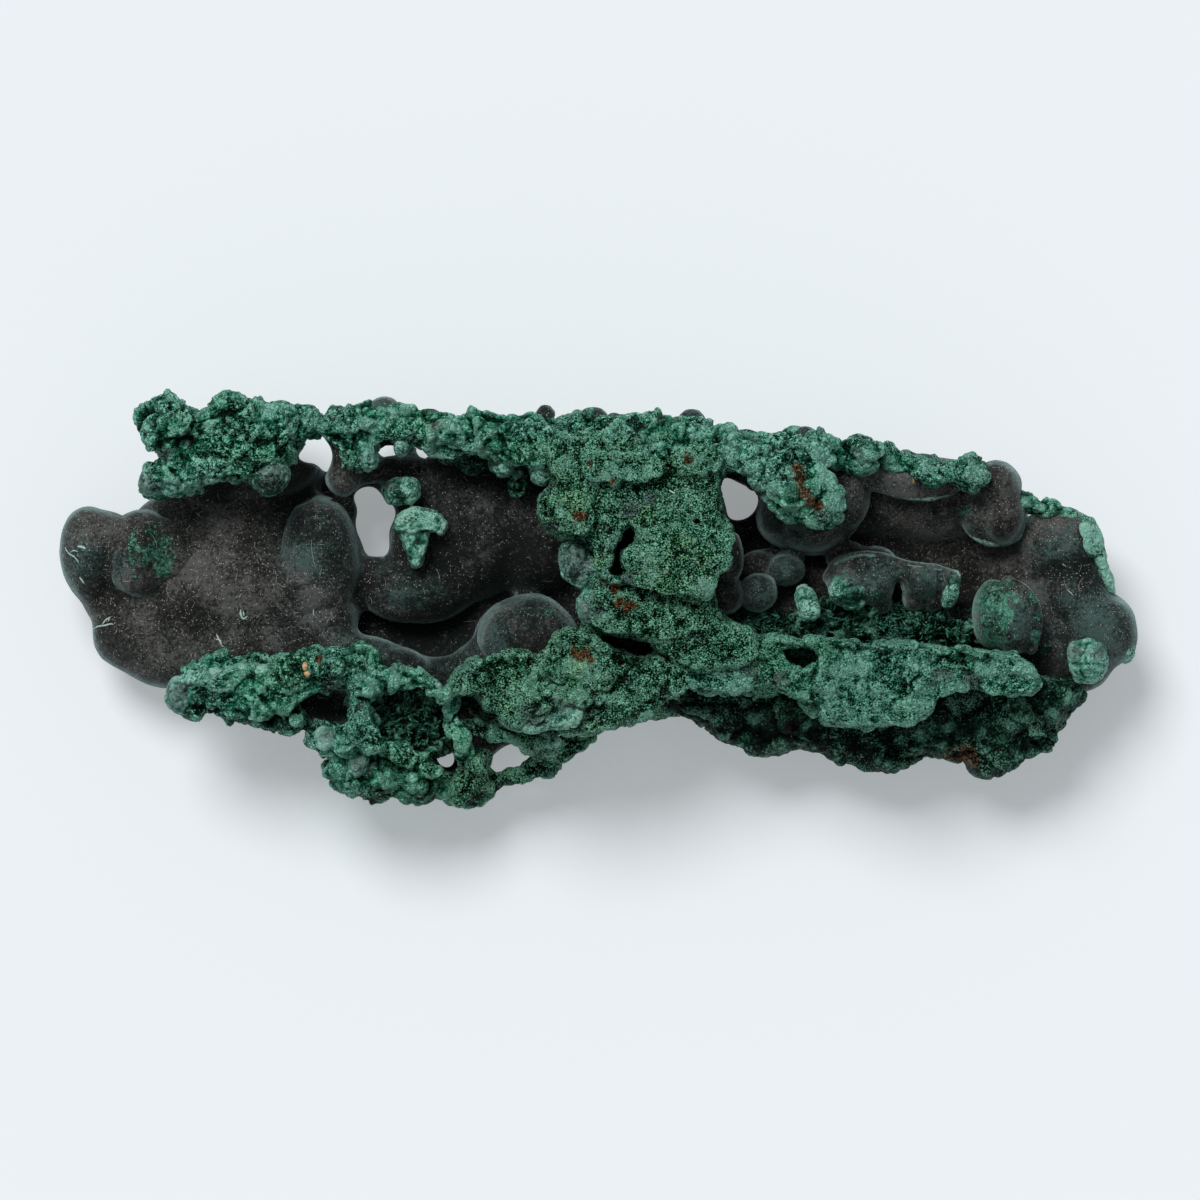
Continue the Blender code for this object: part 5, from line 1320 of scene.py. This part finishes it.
# small green crystals scattered on the smooth lobes
greenGrains = {
    "seed": 8, "on": velvets, "lean": (0, 3), "size": (0.16, 0.5),
    "patches": [(-93.8, 12.4, -92.4, 14.4, 14), (-94.4, 9.6, -93.4, 12.4, 12), (-94.2, 7.4, -93.2, 9.4, 5),
        (-93.8, 4.6, -92.8, 6.2, 7), (-91, 13.4, -88.6, 14.8, 5), (-91.4, 8.4, -88, 11.6, 6),
        (-11, -3.2, -9.4, -2, 4)],
    "low": (0.01, 0.11, 0.06), "high": (0.09, 0.48, 0.32), "grains": 900, "roughness": 0.4,
}
lay("greenGrains", strewnRings(crumbShape, greenGrains), greenGrains)

# fine stray fibres
lint = {
    "seed": 6, "on": velvets, "radius": 0.046, "bend": 0.6, "shortest": 0.4, "spread": 0.8,
    "patches": [(-106, -22, -50, 22, 280), (-48, -6, -8, 28, 60), (44, -2, 104, 26, 80),
        (-62, -22, -48, -14, 16)],
    "low": (0.3, 0.28, 0.25), "high": (0.66, 0.64, 0.6), "grains": 700, "roughness": 0.8,
    "thickness": (0.7, 1.2), "steepest": 1.6,
}
lay("lint", strayRings(lint), lint)

# chalky scuffs and chips: each a path on the surface and its half width
scuffs = {
    "paths": [
        ([(-107.2, 10.6), (-106.4, 9.4), (-105.4, 8.8), (-104.6, 8), (-104.3, 7.3)], 0.24),
        ([(-106, 9.6), (-105.2, 9.9), (-104.4, 9.6)], 0.18),
        ([(-104.6, 10.7), (-103.6, 10.6), (-102.9, 10.2)], 0.42),
        ([(-104.2, 4.6), (-103.6, 3.9), (-103.2, 3.2)], 0.28),
        ([(-101.8, -5.9), (-100.6, -5.3), (-99.2, -5.1), (-98, -4.8), (-97.4, -4.9)], 0.24),
        ([(-99.8, -5), (-99, -4), (-97.9, -3.3)], 0.22), ([(-98.6, -4.4), (-98.2, -3.4)], 0.18),
        ([(-71.9, -1.8), (-71.9, -2.8), (-71.4, -3.8), (-70.5, -3.2)], 0.36),
        ([(-71.2, -3.4), (-71.4, -2.2)], 0.26), ([(-76.8, -6.8), (-76.3, -7.8), (-75.6, -9.2)], 0.28),
        ([(-77, -7.8), (-75.6, -8.2)], 0.22), ([(-76.4, -8.6), (-75, -9.6)], 0.12),
        ([(-57.3, -1.8), (-57.3, -3.3)], 0.22), ([(-53.9, -2.4), (-53.5, -3.4)], 0.1),
        ([(93.4, 2.2), (94.2, 1.4), (94.8, 0.8)], 0.14), ([(92.4, 7.2), (93.2, 6.8)], 0.1),
        ([(13.7, 21.9), (14.4, 21.4), (15, 21.2)], 0.28), ([(-16, -12.2), (-15.5, -11.8)], 0.26),
        ([(81.5, -20.6), (81.7, -21.3)], 0.18), ([(27.3, 9.8), (27.4, 9)], 0.2),
        ([(16.8, 22.6), (17.2, 22.8)], 0.2), ([(68.5, -9.2), (69, -9.6)], 0.3),
    ],
    "low": (0.3, 0.46, 0.42), "high": (0.66, 0.8, 0.76), "grains": 1500, "roughness": 0.8, "flatness": 0.35,
}
scuffPaths = [(smoothPath([(x, y, 0) for x, y in path], 3)[:, :2], half) for path, half in scuffs["paths"]]
lay("scuffs", [strandRings(path, half, scuffs["flatness"]) for path, half in scuffPaths], scuffs)

# small tan grains: x, y and how far each reaches along x and y
tanGrains = {
    "grainPlaces": [(-58.7, -13.2, 0.62, 0.9), (-58.3, -14.6, 0.7, 0.66), (62.6, 24, 0.3, 0.8)],
    "low": (0.42, 0.22, 0.08), "high": (0.78, 0.52, 0.26), "grains": 1400, "roughness": 0.55,
}
tanPlaces = [(landing(x, y)[0], (halfX, halfY, 0.5)) for x, y, halfX, halfY in tanGrains["grainPlaces"]]
lay("tanGrains", [lobeRings(place, half, 7) for place, half in tanPlaces], tanGrains)

for piece, finish in laid:
    put(piece, finish)


# floor, light and camera: reaches, places and the camera's height are in metres, and the camera takes in that
# frame's width at that level over the floor, both in millimetres

stageLook = {
    "floor": (0.76, 0.80, 0.825), "floorReach": 6.0, "lit": 0.30, "litColour": (0.93, 0.98, 1.0),
    "fill": 0.24, "fillColour": (0.93, 0.97, 1.0), "key": 1.95, "keySpread": 26.0,
    "keyPlace": (-0.50, 0.95, 1.55),
}
cameraLook = {"height": 3.0, "frameWidth": 240.0, "level": 25.0, "sensor": 36.0, "farthest": 20.0}


def standing(name, data, place=(0, 0, 0)):
    item = bpy.data.objects.new(name, data)
    item.location = place
    bpy.context.scene.collection.objects.link(item)
    return item


def pointAt(item, target):
    away = np.array(target) - np.array(item.location)
    flat = math.hypot(away[0], away[1])
    item.rotation_euler = (math.atan2(flat, -away[2]), 0, math.atan2(away[1], away[0]) - math.pi / 2)


# pale paper, softly lit from behind
reach = stageLook["floorReach"]
corners = [(-reach, -reach, 0), (reach, -reach, 0), (reach, reach, 0), (-reach, reach, 0)]
paper = bpy.data.meshes.new("floor")
paper.from_pydata(corners, [], [(0, 1, 2, 3)])
paper.materials.append(NodeTree("palePaper").shade({
    "Base Color": stageLook["floor"], "Roughness": 0.9, "Specular IOR Level": 0.1,
    "Emission Color": stageLook["litColour"], "Emission Strength": stageLook["lit"]}))
standing("floor", paper)

key = bpy.data.lights.new("key", "SUN")
key.energy = stageLook["key"]
key.angle = math.radians(stageLook["keySpread"])
pointAt(standing("key", key, stageLook["keyPlace"]), (0, 0, 0))
world = bpy.data.worlds.new("studio")
bpy.context.scene.world = world
world.use_nodes = True
background = world.node_tree.nodes["Background"]
background.inputs["Color"].default_value = (*stageLook["fillColour"], 1)
background.inputs["Strength"].default_value = stageLook["fill"]
bpy.context.scene.view_settings.view_transform = "Standard"

lens = bpy.data.cameras.new("camera")
toLevel = cameraLook["height"] - cameraLook["level"] * mm
lens.sensor_width = cameraLook["sensor"]
lens.lens = cameraLook["sensor"] * toLevel / (cameraLook["frameWidth"] * mm)
lens.clip_end = cameraLook["farthest"]
bpy.context.scene.camera = standing("camera", lens, (0, 0, cameraLook["height"]))
print("stage and camera ready")
